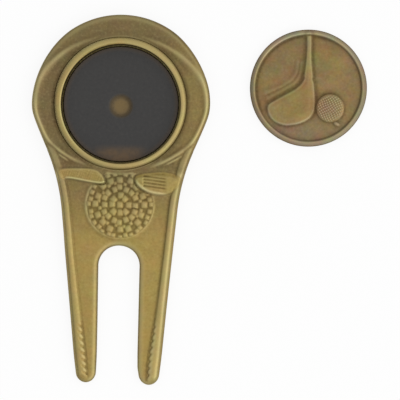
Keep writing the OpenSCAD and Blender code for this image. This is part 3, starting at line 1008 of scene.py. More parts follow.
class Graph:
    """Short hand for adding and joining the nodes of one tree."""

    def __init__(self, tree):
        self.tree = tree
        tree.nodes.clear()

    def node(self, kind, inputs=(), **settings):
        """Adds a node, sets it up, and links or fills its inputs."""
        made = self.tree.nodes.new(kind)
        for name, value in settings.items():
            setattr(made, name, value)
        for name, value in dict(inputs).items():
            if isinstance(value, bpy.types.NodeSocket):
                self.tree.links.new(value, made.inputs[name])
            else:
                made.inputs[name].default_value = value
        return made

    def math(self, operation, one, other=0.0, clamp=False):
        """One operation on two values."""
        made = self.node("ShaderNodeMath", {0: one, 1: other}, operation=operation, use_clamp=clamp)
        return made.outputs[0]

    def mix(self, part, one, other, blend="MIX"):
        """A blend of two colours."""
        inputs = {0: part, 6: one, 7: other}
        return self.node("ShaderNodeMix", inputs, data_type="RGBA", blend_type=blend).outputs[2]

    def span(self, value, low, high, start=0.0, end=1.0):
        """A value moved smoothly from one span to another."""
        made = self.node(
            "ShaderNodeMapRange",
            {"Value": value, "From Min": low, "From Max": high, "To Min": start, "To Max": end},
            interpolation_type="SMOOTHSTEP",
        )
        return made.outputs[0]

    def noise(self, place, scale, detail=3.0, rough=0.55, output="Fac"):
        """A cloudy pattern from 0 to 1, with that many clouds to the metre."""
        inputs = {"Vector": place, "Scale": scale, "Detail": detail, "Roughness": rough}
        return self.node("ShaderNodeTexNoise", inputs).outputs[output]


def antique_finish():
    """Group: antique metal that is dark in hollows and where shade is painted, bright where worn and where
    highlights are painted, and mottled in between.
    """
    name = "Antique finish"
    if name in bpy.data.node_groups:
        return bpy.data.node_groups[name]
    tree = bpy.data.node_groups.new(name, "ShaderNodeTree")
    for direction, kind, titles in (
        ("INPUT", "NodeSocketColor", ("Metal", "Worn", "Tarnish", "Dark")),
        ("INPUT", "NodeSocketFloat", ("Hollow mask", "Worn mask", "Tarnish mask", "Mottle", "Hue")),
        ("OUTPUT", "NodeSocketColor", ("Color",)),
        ("OUTPUT", "NodeSocketFloat", ("Roughness", "Metallic", "Height")),
    ):
        for title in titles:
            tree.interface.new_socket(title, in_out=direction, socket_type=kind)
    graph = Graph(tree)
    given = graph.node("NodeGroupInput").outputs
    place = graph.node("ShaderNodeTexCoord").outputs["Object"]
    clouds = graph.noise(place, scale=260, detail=4)
    blotches = graph.noise(place, scale=1300)
    flecks = graph.noise(place, scale=1900)
    grain = graph.noise(place, scale=9000, detail=2)
    uneven = graph.math("SUBTRACT", graph.math("ADD", clouds, blotches), 1.0)
    mottle = graph.math("MULTIPLY", uneven, given["Mottle"])
    tarnish = graph.math("ADD", given["Tarnish mask"], mottle, clamp=True)
    bias = graph.math("SUBTRACT", flecks, 0.5)
    speck = graph.math("MULTIPLY", bias, 0.5)
    worn, dark = (
        graph.math("ADD", given[title], graph.math("MULTIPLY", speck, given[title]), clamp=True)
        for title in ("Worn mask", "Hollow mask")
    )
    tone = graph.mix(tarnish, given["Metal"], given["Tarnish"])
    tone = graph.mix(graph.span(flecks, 0.5, 0.75, 0, 0.13), tone, given["Dark"])
    tone = graph.mix(graph.span(flecks, 0.5, 0.25, 0, 0.13), tone, given["Worn"])
    tone = graph.mix(worn, tone, given["Worn"])
    tone = graph.mix(dark, tone, given["Dark"])
    hues = graph.noise(place, scale=280, rough=0.6, output="Color")
    tone = graph.mix(given["Hue"], tone, hues, "OVERLAY")
    rough = graph.math("ADD", graph.math("MULTIPLY", dark, 0.2), 0.42)
    rough = graph.math("ADD", rough, graph.math("MULTIPLY", bias, 0.16))
    rough = graph.math("SUBTRACT", rough, graph.math("MULTIPLY", worn, 0.06))
    metallic = graph.math("SUBTRACT", 1.0, graph.math("MULTIPLY", dark, 0.15))
    height = graph.math("ADD", graph.math("MULTIPLY", grain, 0.6), graph.math("MULTIPLY", flecks, 0.6))
    graph.node(
        "NodeGroupOutput", {"Color": tone, "Roughness": rough, "Metallic": metallic, "Height": height}
    )
    return tree


def new_material(name):
    """An empty material with its node graph."""
    material = bpy.data.materials.new(name)
    material.use_nodes = True
    return material, Graph(material.node_tree)


def finish_surface(graph, inputs, height, strength, distance):
    """Ends a material in one shader, with a fine bump."""
    bump = graph.node("ShaderNodeBump", {"Height": height, "Strength": strength, "Distance": distance})
    shader = graph.node("ShaderNodeBsdfPrincipled", {**inputs, "Normal": bump.outputs["Normal"]})
    graph.node("ShaderNodeOutputMaterial", {"Surface": shader.outputs[0]})


def antique_metal(name, colours, metal):
    """Antique brass or antique plating, from the shared finish and that metal's colours."""
    material, graph = new_material(name)
    inputs = {"Metal": getattr(colours, metal)}
    for title in ("Worn", "Tarnish", "Dark", "Mottle", "Hue"):
        inputs[title] = getattr(colours, f"{metal}_{title.lower()}")
    for layer in MASK_LAYERS:
        attribute = graph.node("ShaderNodeAttribute", attribute_name=layer)
        inputs[f"{layer.capitalize()} mask"] = attribute.outputs["Fac"]
    finish = graph.node("ShaderNodeGroup", inputs, node_tree=antique_finish())
    inputs = {"Base Color": finish.outputs["Color"]}
    for title in ("Roughness", "Metallic"):
        inputs[title] = finish.outputs[title]
    finish_surface(graph, inputs, finish.outputs["Height"], 0.16, 0.03 * MM)
    return material


def bonded_magnet(colours, hole_drop):
    """Dull dark magnet, browner towards its lower edge and its outer edge, with a stain round its hole."""
    material, graph = new_material("bonded_magnet")
    place = graph.node("ShaderNodeTexCoord").outputs["Object"]
    axes = graph.node("ShaderNodeSeparateXYZ", {"Vector": place}).outputs
    clouds = graph.noise(place, scale=420, detail=4)
    grain = graph.noise(place, scale=5200)
    motes = graph.noise(place, scale=1500, rough=0.7)
    low = graph.span(axes["Y"], -8.3 * MM, -10.6 * MM)
    middle = graph.span(graph.math("ABSOLUTE", axes["X"]), 7.2 * MM, 2.4 * MM)
    tint = graph.math("MULTIPLY", low, middle)
    tint = graph.math("MULTIPLY", tint, graph.span(clouds, 0.25, 0.6, 0.4, 0.75))
    from_hole, from_middle = (
        graph.node("ShaderNodeVectorMath", {0: place, 1: (0, y, MAGNET_HIGH.z)}, operation="DISTANCE")
        for y in (-hole_drop, 0)
    )
    halo = graph.span(from_hole.outputs["Value"], 2.9 * MM, 1.3 * MM)
    edge_tint = graph.span(from_middle.outputs["Value"], 11 * MM, 12.3 * MM, 0, 0.3)
    tone = graph.mix(graph.math("MAXIMUM", tint, edge_tint), colours.magnet, colours.magnet_tint)
    tone = graph.mix(halo, tone, colours.spot)
    tone = graph.mix(graph.span(motes, 0.5, 0.75, 0, 0.16), tone, MAGNET_MOTE)
    tone = graph.mix(graph.span(motes, 0.5, 0.25, 0, 0.3), tone, MAGNET_PIT)
    rough = graph.math("ADD", graph.math("MULTIPLY", grain, 0.2), 0.5)
    inputs = {"Base Color": tone, "Roughness": rough, "Specular IOR Level": 0.2}
    finish_surface(graph, inputs, grain, 0.2, 0.03 * MM)
    return material


def dried_glue(colours):
    """Dull amber glue with small bubbles."""
    material, graph = new_material("dried_glue")
    place = graph.node("ShaderNodeTexCoord").outputs["Object"]
    clouds = graph.noise(place, scale=900)
    bubbles = graph.node("ShaderNodeTexVoronoi", {"Vector": place, "Scale": 1400}).outputs["Distance"]
    tone = graph.mix(graph.span(clouds, 0.3, 0.7, 0, 0.5), colours.glue, GLUE_AMBER)
    rough = graph.math("ADD", graph.math("MULTIPLY", clouds, 0.3), 0.35)
    finish_surface(graph, {"Base Color": tone, "Roughness": rough}, bubbles, 0.3, 0.05 * MM)
    return material


class ForkFinish(ReliefMasks):
    """Masks of the fork's face."""

    def __init__(self, relief, wear, low, high):
        self.relief = relief
        self.plan = relief.plan
        self.seat = relief.seat
        self.sizes = relief.relief
        self.wear = wear
        super().__init__(self.open_rise, low, high)

    def open_rise(self, x, y):
        """The ornament with the seat cut out of it."""
        cut = self.seat.bottom_height - self.relief.fork.face_height
        return np.where(np.hypot(x, y) < self.seat.seat_radius, cut, self.relief.rise(x, y))

    def survey(self, x, y):
        """How points lie to the edges and figures, and where the light from the right falls."""
        relief, sizes = self.relief, self.sizes
        at = SimpleNamespace(x=x, y=y, down=-y)
        at.inset = self.plan.inset(x, y)
        at.away = relief.rim_away(x, y)
        at.past_rim = at.away - self.seat.rim_foot
        at.oval = relief.oval_gap(x, y)
        at.iron, at.wood = relief.club_insets(x, y)
        at.clubs = np.maximum(at.iron, at.wood)
        at.heads = ease(at.clubs, 0, 0.3)
        at.foot = relief.shaft_foot_gap(x, y)
        at.across, at.grip, at.wave = relief.wraps(x, y)
        at.ball = sizes.ball_radius - np.hypot(x - sizes.ball_x, y + sizes.ball_drop)
        below_top = ease(at.down, sizes.ball_top, sizes.ball_top + 0.3)
        at.in_ball = ease(at.ball, 0.3, 0.6) * below_top * (1 - at.heads)
        at.pads = relief.pads(x, y)
        at.lit = ease(x, 3, 12) * ease(at.down, -4, 4)
        return at

    def edge_wear_and_highlight(self, at):
        """Wear and painted highlights on the edges' rounding and on a line inside it, less where they face
        right or lie at the top.
        """
        step = 0.2
        top = ease(at.y, 6, 14)
        line = self.wear.edge_line - 0.2 * at.lit * fade(at.down, 12, 20) - 0.03 * top
        right = self.plan.inset(at.x - step, at.y) - self.plan.inset(at.x + step, at.y)
        right = ease(right / (2 * step), 0, 0.8)
        rounding = self.wear.edge_round + 0.2 * ease(at.down, 55, 58) - 0.36 * right - 0.2 * top
        return peak(at.inset, 0.7, 0.4) * line + rounding * fade(at.inset, 0.3, 0.8)

    def rim_painted_light(self, at):
        """Painted light on the left of the rim's outer slope, and on its foot above and below the seat."""
        slope = ease(at.away, 13.6, 13.9) * fade(at.past_rim, -0.1, 0)
        slope = slope * (ease(-at.x, 1, 8) + 2 * ease(-at.x, 1, 4) * np.abs(at.x * at.y) / at.away ** 2)
        foot = 1.2 * peak(at.past_rim, 0, 0.2) * (1 - np.abs(at.x) / at.away)
        return self.wear.rim_slope * (slope + foot)

    @staticmethod
    def oval_ends(at):
        """The oval's upper ends, beside the head's edges."""
        return peak(at.oval, -0.5, 0.7) * ease(np.abs(at.x), 10.5, 13) * ease(at.y, 3, 6)

    def club_wear_and_highlights(self, at):
        """Wear and painted highlights on the lines along the iron's sole, round its blade and along the
        wood's lower left edge.
        """
        sole = self.relief.iron_sole(at.x, at.y, at.iron)
        lines = np.maximum(sole, 0.12 * peak(at.iron, 0.2, 0.22))
        lines = np.maximum(lines, 1.2 * self.relief.wood_rim(at.x, at.y, at.wood))
        return self.wear.club_lines * lines * ease(at.clubs, -0.3, 0)

    def ball_wear_and_highlights(self, at):
        """Wear and painted highlights on the ball's cut top, the left of its border and its pads."""
        top = peak(at.y, -self.sizes.ball_top - 0.25, 0.22) * fade(np.abs(at.x), 2.6, 3.2)
        border = peak(at.ball, 0.2, 0.34) * ease(-at.x, 2.5, 6.5) * (1 - at.heads)
        pads = self.wear.ball_pads * at.in_ball * at.pads ** 2
        return self.wear.ball_top * top + self.wear.ball_border * border + pads

    def grip_highlights(self, at):
        """Painted highlights: beads on the wraps of the left grip and a line along the right one."""
        inner = ease(at.across, 0.05, 0.4) * fade(at.across, 0.7, 0.95)
        beads = self.wear.left_beads * (1 - at.wave) ** 1.5 * inner
        return at.grip * np.where(at.x < 0, beads, self.wear.right_line * peak(at.across, 0.55, 0.3))

    def worn(self, at):
        """Where the metal is rubbed bright, and where highlights and light are painted on."""
        worn = self.sample(self.crests, at) + self.edge_wear_and_highlight(at)
        above = ease(at.down, 8, 9) * fade(at.down, 13.5, 15.5) * fade(at.inset, 1.8, 2.2)
        shaft = ease(at.down, 15, 17) * ease(-at.foot, -0.2, 0.2)
        shaft_weight = 0.5 - 0.18 * ease(at.x, -1, 1) - 0.07 * np.sign(at.x) * ease(at.down, 28, 36)
        rim_weight = 0.55 - 0.1 * ease(at.y, 2, 10) + 0.1 * ease(-at.x, 7, 12)
        for part, weight in (
            (above, 0.3),
            (shaft, shaft_weight),
            (at.past_rim < 0, rim_weight),
            (at.in_ball, 0.6),
            (ease(at.clubs, -0.1, 0.1), 0.6),
        ):
            worn = worn * (1 - weight * part)
        worn = worn + self.club_wear_and_highlights(at) + self.ball_wear_and_highlights(at) + self.grip_highlights(at)
        return worn + self.rim_painted_light(at) + self.wear.oval_ends * self.oval_ends(at)

    def rim_patina(self, at):
        """The groove round the rim's foot, wider on the left."""
        left = ease(-at.x, 2, 8)
        groove = peak(at.past_rim, 0.15 + 0.08 * left, 0.3 + 0.12 * left)
        side = (0.3 + 0.14 * ease(at.x, -2, 8) + 0.22 * left) * np.abs(at.x) / at.away
        return groove * (0.02 + side)

    def nook_patina(self, at):
        """The nooks between the rim and the oval's upper half."""
        nook = peak(at.oval, -1.1, 0.7) * ease(at.y, 5, 9) * fade(at.away, 15.8, 17)
        return self.wear.nooks * nook * ease(at.past_rim, -0.1, 0.1)

    def shaft_patina(self, at):
        """A line along the shafts' inner feet, with teeth between the wraps of the grips."""
        on_left = at.x < 0
        left = self.wear.left_foot * ease(at.down, 15, 17)
        right = (self.wear.right_foot + 0.06 * at.grip) * ease(at.down, 10, 12)
        line = peak(at.foot, np.where(on_left, 0.12, 0.18), 0.24) * np.where(on_left, left, right)
        teeth = ease(at.across + 0.3 * at.wave, 0.85, 1.05) * fade(at.across, 1.1, 1.4)
        return line + at.grip * teeth * np.where(on_left, 0.16, 0.1)

    def hollow(self, at):
        """Where patina stays dark, with painted shade along the edges and painted shadow beside the clubs.
        """
        hollow = self.sample(self.hollows, at)
        shaft = fade(np.abs(at.foot), 0.5, 1.0)
        ring = fade(at.away, 14.8, 15.4) * ease(at.past_rim, -0.7, -0.3)
        near_clubs = fade(-at.clubs, 0.6, 1.2) * ease(-at.clubs, 0, 0.1)
        near_clubs = near_clubs * (1 - 0.6 * ease(at.ball, -0.1, 0.1))
        round_ball = ease(-at.ball, -0.5, -0.1) * fade(-at.ball, 0.8, 1.4) * ease(at.down, 17.5, 18.5)
        for part, weight in (
            (shaft, 0.75), (ring, 0.95), (near_clubs, 0.95), (round_ball, 0.65), (at.in_ball, 0.2)
        ):
            hollow = hollow * (1 - weight * part)
        hollow = (hollow + self.rim_patina(at)) * (1 - 0.6 * self.oval_ends(at))
        hollow = hollow + self.nook_patina(at) + self.shaft_patina(at)
        hollow = hollow + self.wear.pad_gaps * at.in_ball * (1 - at.pads) ** 2
        # Painted shade on the outer edges, weaker where the light from the right falls
        hollow = hollow * ease(at.inset, 0.2, 0.9) + 0.03 * fade(at.inset, 0.1, 0.5) * (1 - 0.8 * at.lit)
        plate = self.relief.wood_plate(at.x, at.heads)
        hollow = hollow * (1 - 0.6 * at.heads * (1 - plate))
        # Painted shadow just outside the clubs, on the ball at the right and on the face above them
        beside = 0.2 * at.in_ball * ease(at.x, 2, 4) + 0.1 * ease(at.y, -15, -14)
        return self.wear.patina * (hollow + peak(at.clubs, -0.8, 0.6) * beside)

    @staticmethod
    def browning(x, y):
        """The head is browner than the shank and the prongs, and its left side more than its right: the
        right side is painted lighter, where the light from the right falls.
        """
        return fade(-y, 10, 33) * (1 - 0.4 * ease(x, 6, 19))

    def tarnish(self, at):
        """Where the metal is browner: on the head and the edges, less on the figures and the rim, and
        painted lighter on the edges where the light from the right falls.
        """
        tarnish = self.browning(at.x, at.y) * (1 - 0.75 * at.heads)
        tarnish = tarnish * (1 - 0.5 * at.in_ball * ease(at.down, 16, 21))
        tarnish = tarnish * (1 - 0.8 * fade(at.past_rim, -0.3, 0))
        return np.maximum(tarnish, 0.6 * fade(at.inset, 0.15, 0.6) * (1 - 0.6 * at.lit))


class ForkCaster:
    """Builds the casting: face, edges, back and the seat with its pocket."""

    # Turns of the rings on the rounded edges of the face, of the back and of the rim's lip, in degrees
    FACE_TURNS = (40, 50, 60, 70, 80, 90)
    BACK_TURNS = (0, 30, 60, 90)
    LIP_TURNS = (90, 75, 60, 45, 30, 15)
    # Rings between the face and the back, as shares of the height between them
    SIDE_PARTS = (0.35, 0.7)
    # Rings on the pocket's floor, and on the rim's outer side and past its foot, as shares of its width
    FLOOR_RADII = (0.4, 1.2, 2.4, 6)
    RIM_PARTS = (0.0, 0.15, 0.3, 0.45, 0.6, 0.73, 0.84, 0.93, 0.98, 1.05, 1.2, 1.4)
    # Easing of the corners at the pocket's floor, at the ledge and at the foot of the seat's wall
    FLOOR_EASE = 0.1
    LEDGE_EASE = 0.05
    WALL_EASE = 0.08
    # Lines of mesh points beside the outlines of the clubs, the shafts' feet and the ball's edge
    CLUB_LINES = (-0.05, 0.12, 0.3)
    SHAFT_LINES = (-0.02, -0.12, 0.12)
    BALL_LINES = (0, 0.12, 0.3, 0.45)
    BALL_STEPS = 340
    # Least gap of inner points to the face's borders, and to points on lines, over detail and elsewhere
    BORDER_GAP = 0.12
    POINT_GAPS = (0.07, 0.08, 0.12)

    def __init__(self, scene):
        self.fork = in_millimetres(scene.divot_fork)
        self.seat = in_millimetres(scene.divot_seat)
        self.sizes = in_millimetres(scene.divot_relief)
        self.relief = ForkRelief(self.fork, self.seat, self.sizes)
        self.plan = self.relief.plan
        self.draft = MeshDraft()
        self.low = np.array([-self.fork.head_radius, -self.fork.reach])
        self.high = np.array([self.fork.head_radius, self.fork.head_radius])
        self.finish = ForkFinish(self.relief, in_millimetres(scene.divot_wear), self.low, self.high)

    def add_face_points(self, xy):
        """Adds points of the face with their heights and masks."""
        x, y = xy.T
        return self.draft.add(xy, self.relief.height(x, y), **self.finish.masks(x, y))

    def on_face(self, x, y):
        """Whether points lie clear of the face's edge and of the seat."""
        border = 0.37 * self.fork.edge_width + 0.08
        return (self.plan.inset(x, y) > border) & (np.hypot(x, y) > SEAT_JOIN + 0.1)

    def detailed(self, x, y):
        """Where the relief is fine: the ball, the club heads and the grips."""
        sizes = self.sizes
        ball = np.hypot(x - sizes.ball_x, y + sizes.ball_drop) < sizes.ball_radius + 0.3
        clubs = (y < -13.4) & (y > -19.4)
        grips = (-y > sizes.grip_drop - 1.5) & (self.plan.outer_inset(x, y) < 3)
        return ball | clubs | grips

    def inner_points(self, border):
        """Points inside the face: figure outlines first, then a finer and a coarser honeycomb."""
        sizes = self.sizes
        bed = PointBed(self.low, self.high)
        for loop in (border, circle(SEAT_JOIN, SEAT_STEPS)):
            bed.block(loop, self.BORDER_GAP)
        lines = []
        for loop in (self.relief.iron, self.relief.wood):
            lines += offset_lines(resample(anticlockwise(loop), DETAIL_SPACING), self.CLUB_LINES)
        foot = sizes.shaft_margin + 2 * sizes.shaft_half_width
        outline = self.plan.outline(DETAIL_SPACING)
        lines += offset_lines(outline, [foot + gap for gap in self.SHAFT_LINES])
        ball = (sizes.ball_x, -sizes.ball_drop)
        lines += [circle(sizes.ball_radius - gap, self.BALL_STEPS, ball) for gap in self.BALL_LINES]
        spacings = (DETAIL_SPACING, FACE_SPACING)
        return bed.lay(lines, spacings, self.POINT_GAPS, self.on_face, self.detailed)

    def edge_rings(self, outline):
        """The rounded edge of the face, the side and the rounded edge of the back."""
        draft, fork = self.draft, self.fork
        normal = inward(outline)
        rings = []
        for turn in np.radians(self.FACE_TURNS):
            inset = fork.edge_width * (1 - math.sin(turn))
            xy = outline + normal * inset
            x, y = xy.T
            z = self.relief.face(y) + self.relief.rise(x, y) - fork.edge_drop * (1 - math.cos(turn))
            rings.append(draft.add(xy, z, **self.finish.masks(x, y)))
        tarnish = 0.6 * self.finish.browning(outline[:, 0], outline[:, 1])
        top = draft.points[-1][:, 2]
        for part in self.SIDE_PARTS:
            z = top + (fork.back_round - top) * part
            rings.append(draft.add(outline, z, hollow=0.42, tarnish=tarnish))
        for turn in np.radians(self.BACK_TURNS):
            xy = outline + normal * fork.back_round * (1 - math.cos(turn))
            z = fork.back_round * (1 - math.sin(turn))
            rings.append(draft.add(xy, z, hollow=0.25, worn=0.3, tarnish=tarnish))
        xy = outline + normal * (fork.back_round + 0.06)
        rings.append(draft.add(xy, 0, hollow=0.1, worn=0.1, tarnish=tarnish))
        return rings

    def cast(self, material):
        """Puts the casting together."""
        draft = self.draft
        outline = self.plan.outline(EDGE_SPACING)
        count = len(outline)
        rings = self.edge_rings(outline)
        draft.loft(rings, count)
        join = self.sink_seat()
        inner = self.inner_points(draft.points[0][:, :2])
        start = self.add_face_points(inner)
        draft.fill([(rings[0], count), (join, SEAT_STEPS)], np.arange(start, start + len(inner)))
        draft.fill([(rings[-1], count)], flip=True)
        draft.points = [self.plan.as_cast(points) for points in draft.points]
        return draft.build("fork_casting", material, CREASE)

    def sink_seat(self):
        """The pocket, the ledge, the wall and the rolled rim, from the middle outwards."""
        rings = self.pocket_rings() + self.lip_rings() + self.rim_rings()
        self.draft.loft(rings, SEAT_STEPS)
        self.draft.cap(rings[0], SEAT_STEPS)
        return rings[-1]

    def pocket_rings(self):
        """The pocket's floor and wall, the ledge and the seat's wall, with the walls and the ledge dark
        with patina and painted shade.
        """
        draft, seat = self.draft, self.seat
        rings = []
        for radius in (*self.FLOOR_RADII, seat.pocket_radius - self.FLOOR_EASE):
            floor = circle(radius, SEAT_STEPS)
            rings.append(draft.add(floor, seat.floor_height, hollow=0.15, tarnish=0.9))
        ledge = seat.bottom_height - seat.ledge_drop
        for radius, height in (
            (seat.pocket_radius, seat.floor_height + self.FLOOR_EASE),
            (seat.pocket_radius, ledge - self.LEDGE_EASE),
            (seat.pocket_radius + self.LEDGE_EASE, ledge),
            (seat.seat_radius - self.WALL_EASE, ledge),
            (seat.seat_radius, ledge + self.WALL_EASE),
            (seat.seat_radius, seat.rim_top - seat.lip_drop - 0.5),
        ):
            wall = circle(radius, SEAT_STEPS)
            # Painted shade on the walls and the ledge, darkest on the left and lightest on the right
            shade = 0.78 + (0.02 * wall[:, 1] - 0.12 * wall[:, 0]) / radius
            rings.append(draft.add(wall, height, hollow=shade, worn=1))
        return rings

    def lip_rings(self):
        """The rim's lip, which rolls over towards the seat, with wear on its crest and painted highlights
        at the upper right and on its inner side at the left.
        """
        seat = self.seat
        roll = seat.rim_crest - seat.seat_radius
        rings = []
        for turn in np.radians(self.LIP_TURNS):
            radius = seat.rim_crest - roll * math.sin(turn)
            height = seat.rim_top - seat.lip_drop * (1 - math.cos(turn))
            lip = circle(radius, SEAT_STEPS)
            x, y = lip[:, 0] / radius, lip[:, 1] / radius
            # Wear on the crest, less at the upper left, and painted highlights at the upper right and on
            # the inner side at the left
            worn = 0.5 * math.cos(turn) * (1 - 0.5 * ease(y - x, 0.6, 1.4))
            worn = worn + 0.3 * ease(x + y, 0.9, 1.4) * math.sin(turn)
            worn = worn + 0.3 * ease(-x, 0.5, 0.95) * math.sin(2 * turn)
            hollow = np.clip(0.35 - 0.7 * worn, 0, 1)
            rings.append(self.draft.add(lip, height, hollow, worn, tarnish=0.15))
        return rings

    def rim_rings(self):
        """The rim's outer side, which lies a little off the seat's centre, out to the plain face."""
        seat = self.seat
        slope = seat.rim_foot - seat.rim_crest
        shift = np.array([-seat.rim_left, seat.rim_up])
        rings = []
        for part in self.RIM_PARTS:
            loop = circle(seat.rim_crest + part * slope, SEAT_STEPS, shift * min(part, 1))
            rings.append(self.add_face_points(loop))
        rings.append(self.add_face_points(circle(SEAT_JOIN, SEAT_STEPS)))
        return rings


class CoinRelief:
    """Heights of the marker's face above its field, given from the coin's centre."""

    # Height of the tee, and how much longer than high it is
    TEE_RISE = 0.18
    TEE_STRETCH = 1.4
    # Half the width of the swing lines, and how far from them points are looked at
    SWING_FLANK = 0.42
    SWING_REACH = 1.2

    def __init__(self, sizes):
        self.sizes = sizes
        self.radius = (MARKER_HIGH.x - MARKER_LOW.x) / 2 / MM
        self.driver = spline(DRIVER_OUTLINE, True)
        self.swings = [spline(course, False) for course in SWING_LINES]

    def swing_lines(self, x, y):
        """The swing lines, from 0 beside them to 1 on their crests."""
        swing = np.zeros_like(x)
        for course in self.swings:
            gap = line_gap(x, y, course, self.SWING_REACH)
            swing = np.maximum(swing, peak(gap, 0, self.SWING_FLANK))
        return swing

    def pebbles(self, x, y):
        """The fine grain of the ball, from 0 between the pebbles to 1 on top of them."""
        sizes = self.sizes
        side, up = x - sizes.ball_x, y - sizes.ball_y
        side, up = side + 0.1 * np.sin(2.3 * up + 0.7), up + 0.1 * np.sin(1.9 * side + 2)
        steps = [TAU * (0.87 * a + 0.5 * b) / sizes.pebble_pitch for a, b in ((side, up), (up, -side))]
        grain = (0.5 + 0.5 * np.cos(steps[0])) * (0.5 + 0.5 * np.cos(steps[1]))
        return grain * fade(np.hypot(side, up) / sizes.ball_radius, 0.8, 1.0)

    def rim_part(self, x, y):
        """From 0 at the rim's foot to 1 on its crest."""
        crest = self.radius - self.sizes.rim_crest
        return ease(np.hypot(x, y), self.radius - self.sizes.rim_width, crest)

    def rim(self, x, y):
        """The rim, steep on its inside, which slopes down towards the edge."""
        sizes = self.sizes
        past = np.maximum(np.hypot(x, y) - self.radius + sizes.rim_crest, 0) / sizes.rim_crest
        return sizes.sink * self.rim_part(x, y) - sizes.rim_fall * past ** 2

    def rise(self, x, y):
        """The whole relief: driver, swing lines, ball, tee and rim."""
        sizes = self.sizes
        inset = loop_inset(x, y, self.driver)
        driver = sizes.driver_rise * (0.75 * ease(inset, -0.08, 0.32) + 0.25 * ease(inset, 0.2, 1.6))
        reach = np.hypot(x - sizes.ball_x, y - sizes.ball_y) / sizes.ball_radius
        ball = sizes.ball_rise * np.sqrt(np.clip(1 - reach ** 2, 0, 1))
        ball = ball + sizes.pebble_rise * self.pebbles(x, y)
        lean = y - sizes.tee_y + 0.3 * (x - sizes.tee_x)
        tee = np.hypot((x - sizes.tee_x) / self.TEE_STRETCH, lean)
        tee = self.TEE_RISE * fade(tee, 0.2, 0.62)
        low = np.maximum(sizes.swing_rise * self.swing_lines(x, y), tee)
        figures = np.maximum(np.maximum(driver, ball), low)
        return np.maximum(figures * (1 - self.rim_part(x, y)), self.rim(x, y))


class CoinFinish(ReliefMasks):
    """Masks of the marker's face."""

    def __init__(self, relief, wear):
        self.relief = relief
        self.sizes = relief.sizes
        self.wear = wear
        reach = np.array([relief.radius, relief.radius])
        super().__init__(relief.rise, -reach, reach)

    def survey(self, x, y):
        """How points lie to the rim, the driver and the ball."""
        relief, sizes = self.relief, self.sizes
        at = SimpleNamespace(x=x, y=y, away=np.hypot(x, y))
        at.driver = loop_inset(x, y, relief.driver, 3)
        at.ball = np.hypot(x - sizes.ball_x, y - sizes.ball_y) - sizes.ball_radius
        at.crest = at.away - relief.radius + sizes.rim_crest
        at.rim_foot = at.away - relief.radius + sizes.rim_width
        at.low = ease(-y - 0.1 * x, 5.4, 7)
        at.fall = ease(at.crest, -0.1, 0.4)
        return at

    def worn(self, at):
        """Where the plating is rubbed bright and where highlights are painted on: the driver's sole and
        the pebbles; the rim's upper part is made lighter.
        """
        wear = self.wear
        sole = wear.driver_sole * peak(at.driver, 0.22, 0.2) * at.low
        crown = wear.marker_crown * peak(at.crest, 0, 0.5) * ease(at.y, 3, 9)
        pebbles = wear.pebbles * self.relief.pebbles(at.x, at.y)
        return self.sample(self.crests, at) * (0.85 - 0.2 * ease(-at.x, 8, 11)) + sole + pebbles + crown

    def hollow(self, at):
        """Where patina stays dark, with painted shadow beside the driver, round the swing lines and at the
        ball's upper left, and painted shade on the rim and the field's upper left.
        """
        wear = self.wear
        beside = fade(at.driver, -0.2, 0)
        # Painted shadow in a band beside the driver and round the swing lines
        moat = peak(at.driver, -0.3, 0.4) * (1 - at.low)
        band = ease(at.driver, -2.4, -1.6) * beside * fade(at.x, -1.5, -0.5) * fade(at.y, 4, 7)
        # Painted shadow at the upper left of the ball
        shade = peak(np.maximum(at.ball - 0.2, 0), 0, 0.8) * ease(at.ball, -0.2, 0.1)
        shade = shade * ease(at.y - at.x, -9.5, -5)
        # The rim's foot is painted lighter towards the lower right
        foot = peak(at.rim_foot, 0, 0.6) * fade(at.y - at.x, 0, 10)
        hollow = self.sample(self.hollows, at) * (1 - 0.6 * moat) * (1 - 0.5 * foot)
        hollow = hollow + wear.driver_moat * moat + wear.swing_field * band * (1 - at.low)
        hollow = hollow + wear.ball_shade * shade
        # Painted shade on the rim's outer slope, strongest at its left and right
        hollow = hollow + wear.rim_fall * at.fall * (1 - 0.6 * np.abs(at.y) / at.away)
        # Painted shade on the field towards its upper left
        field = (1 - self.relief.rim_part(at.x, at.y)) * beside
        return hollow + 0.1 * ease(at.y - 0.6 * at.x, 1, 9) * field

    def tarnish(self, at):
        """Where the plating is browner: on the field, more so below, and on the rim's fall."""
        field = (0.25 + 0.3 * ease(-at.y, 6, 10)) * fade(at.driver, 0, 0.4)
        return np.maximum(field, at.fall)


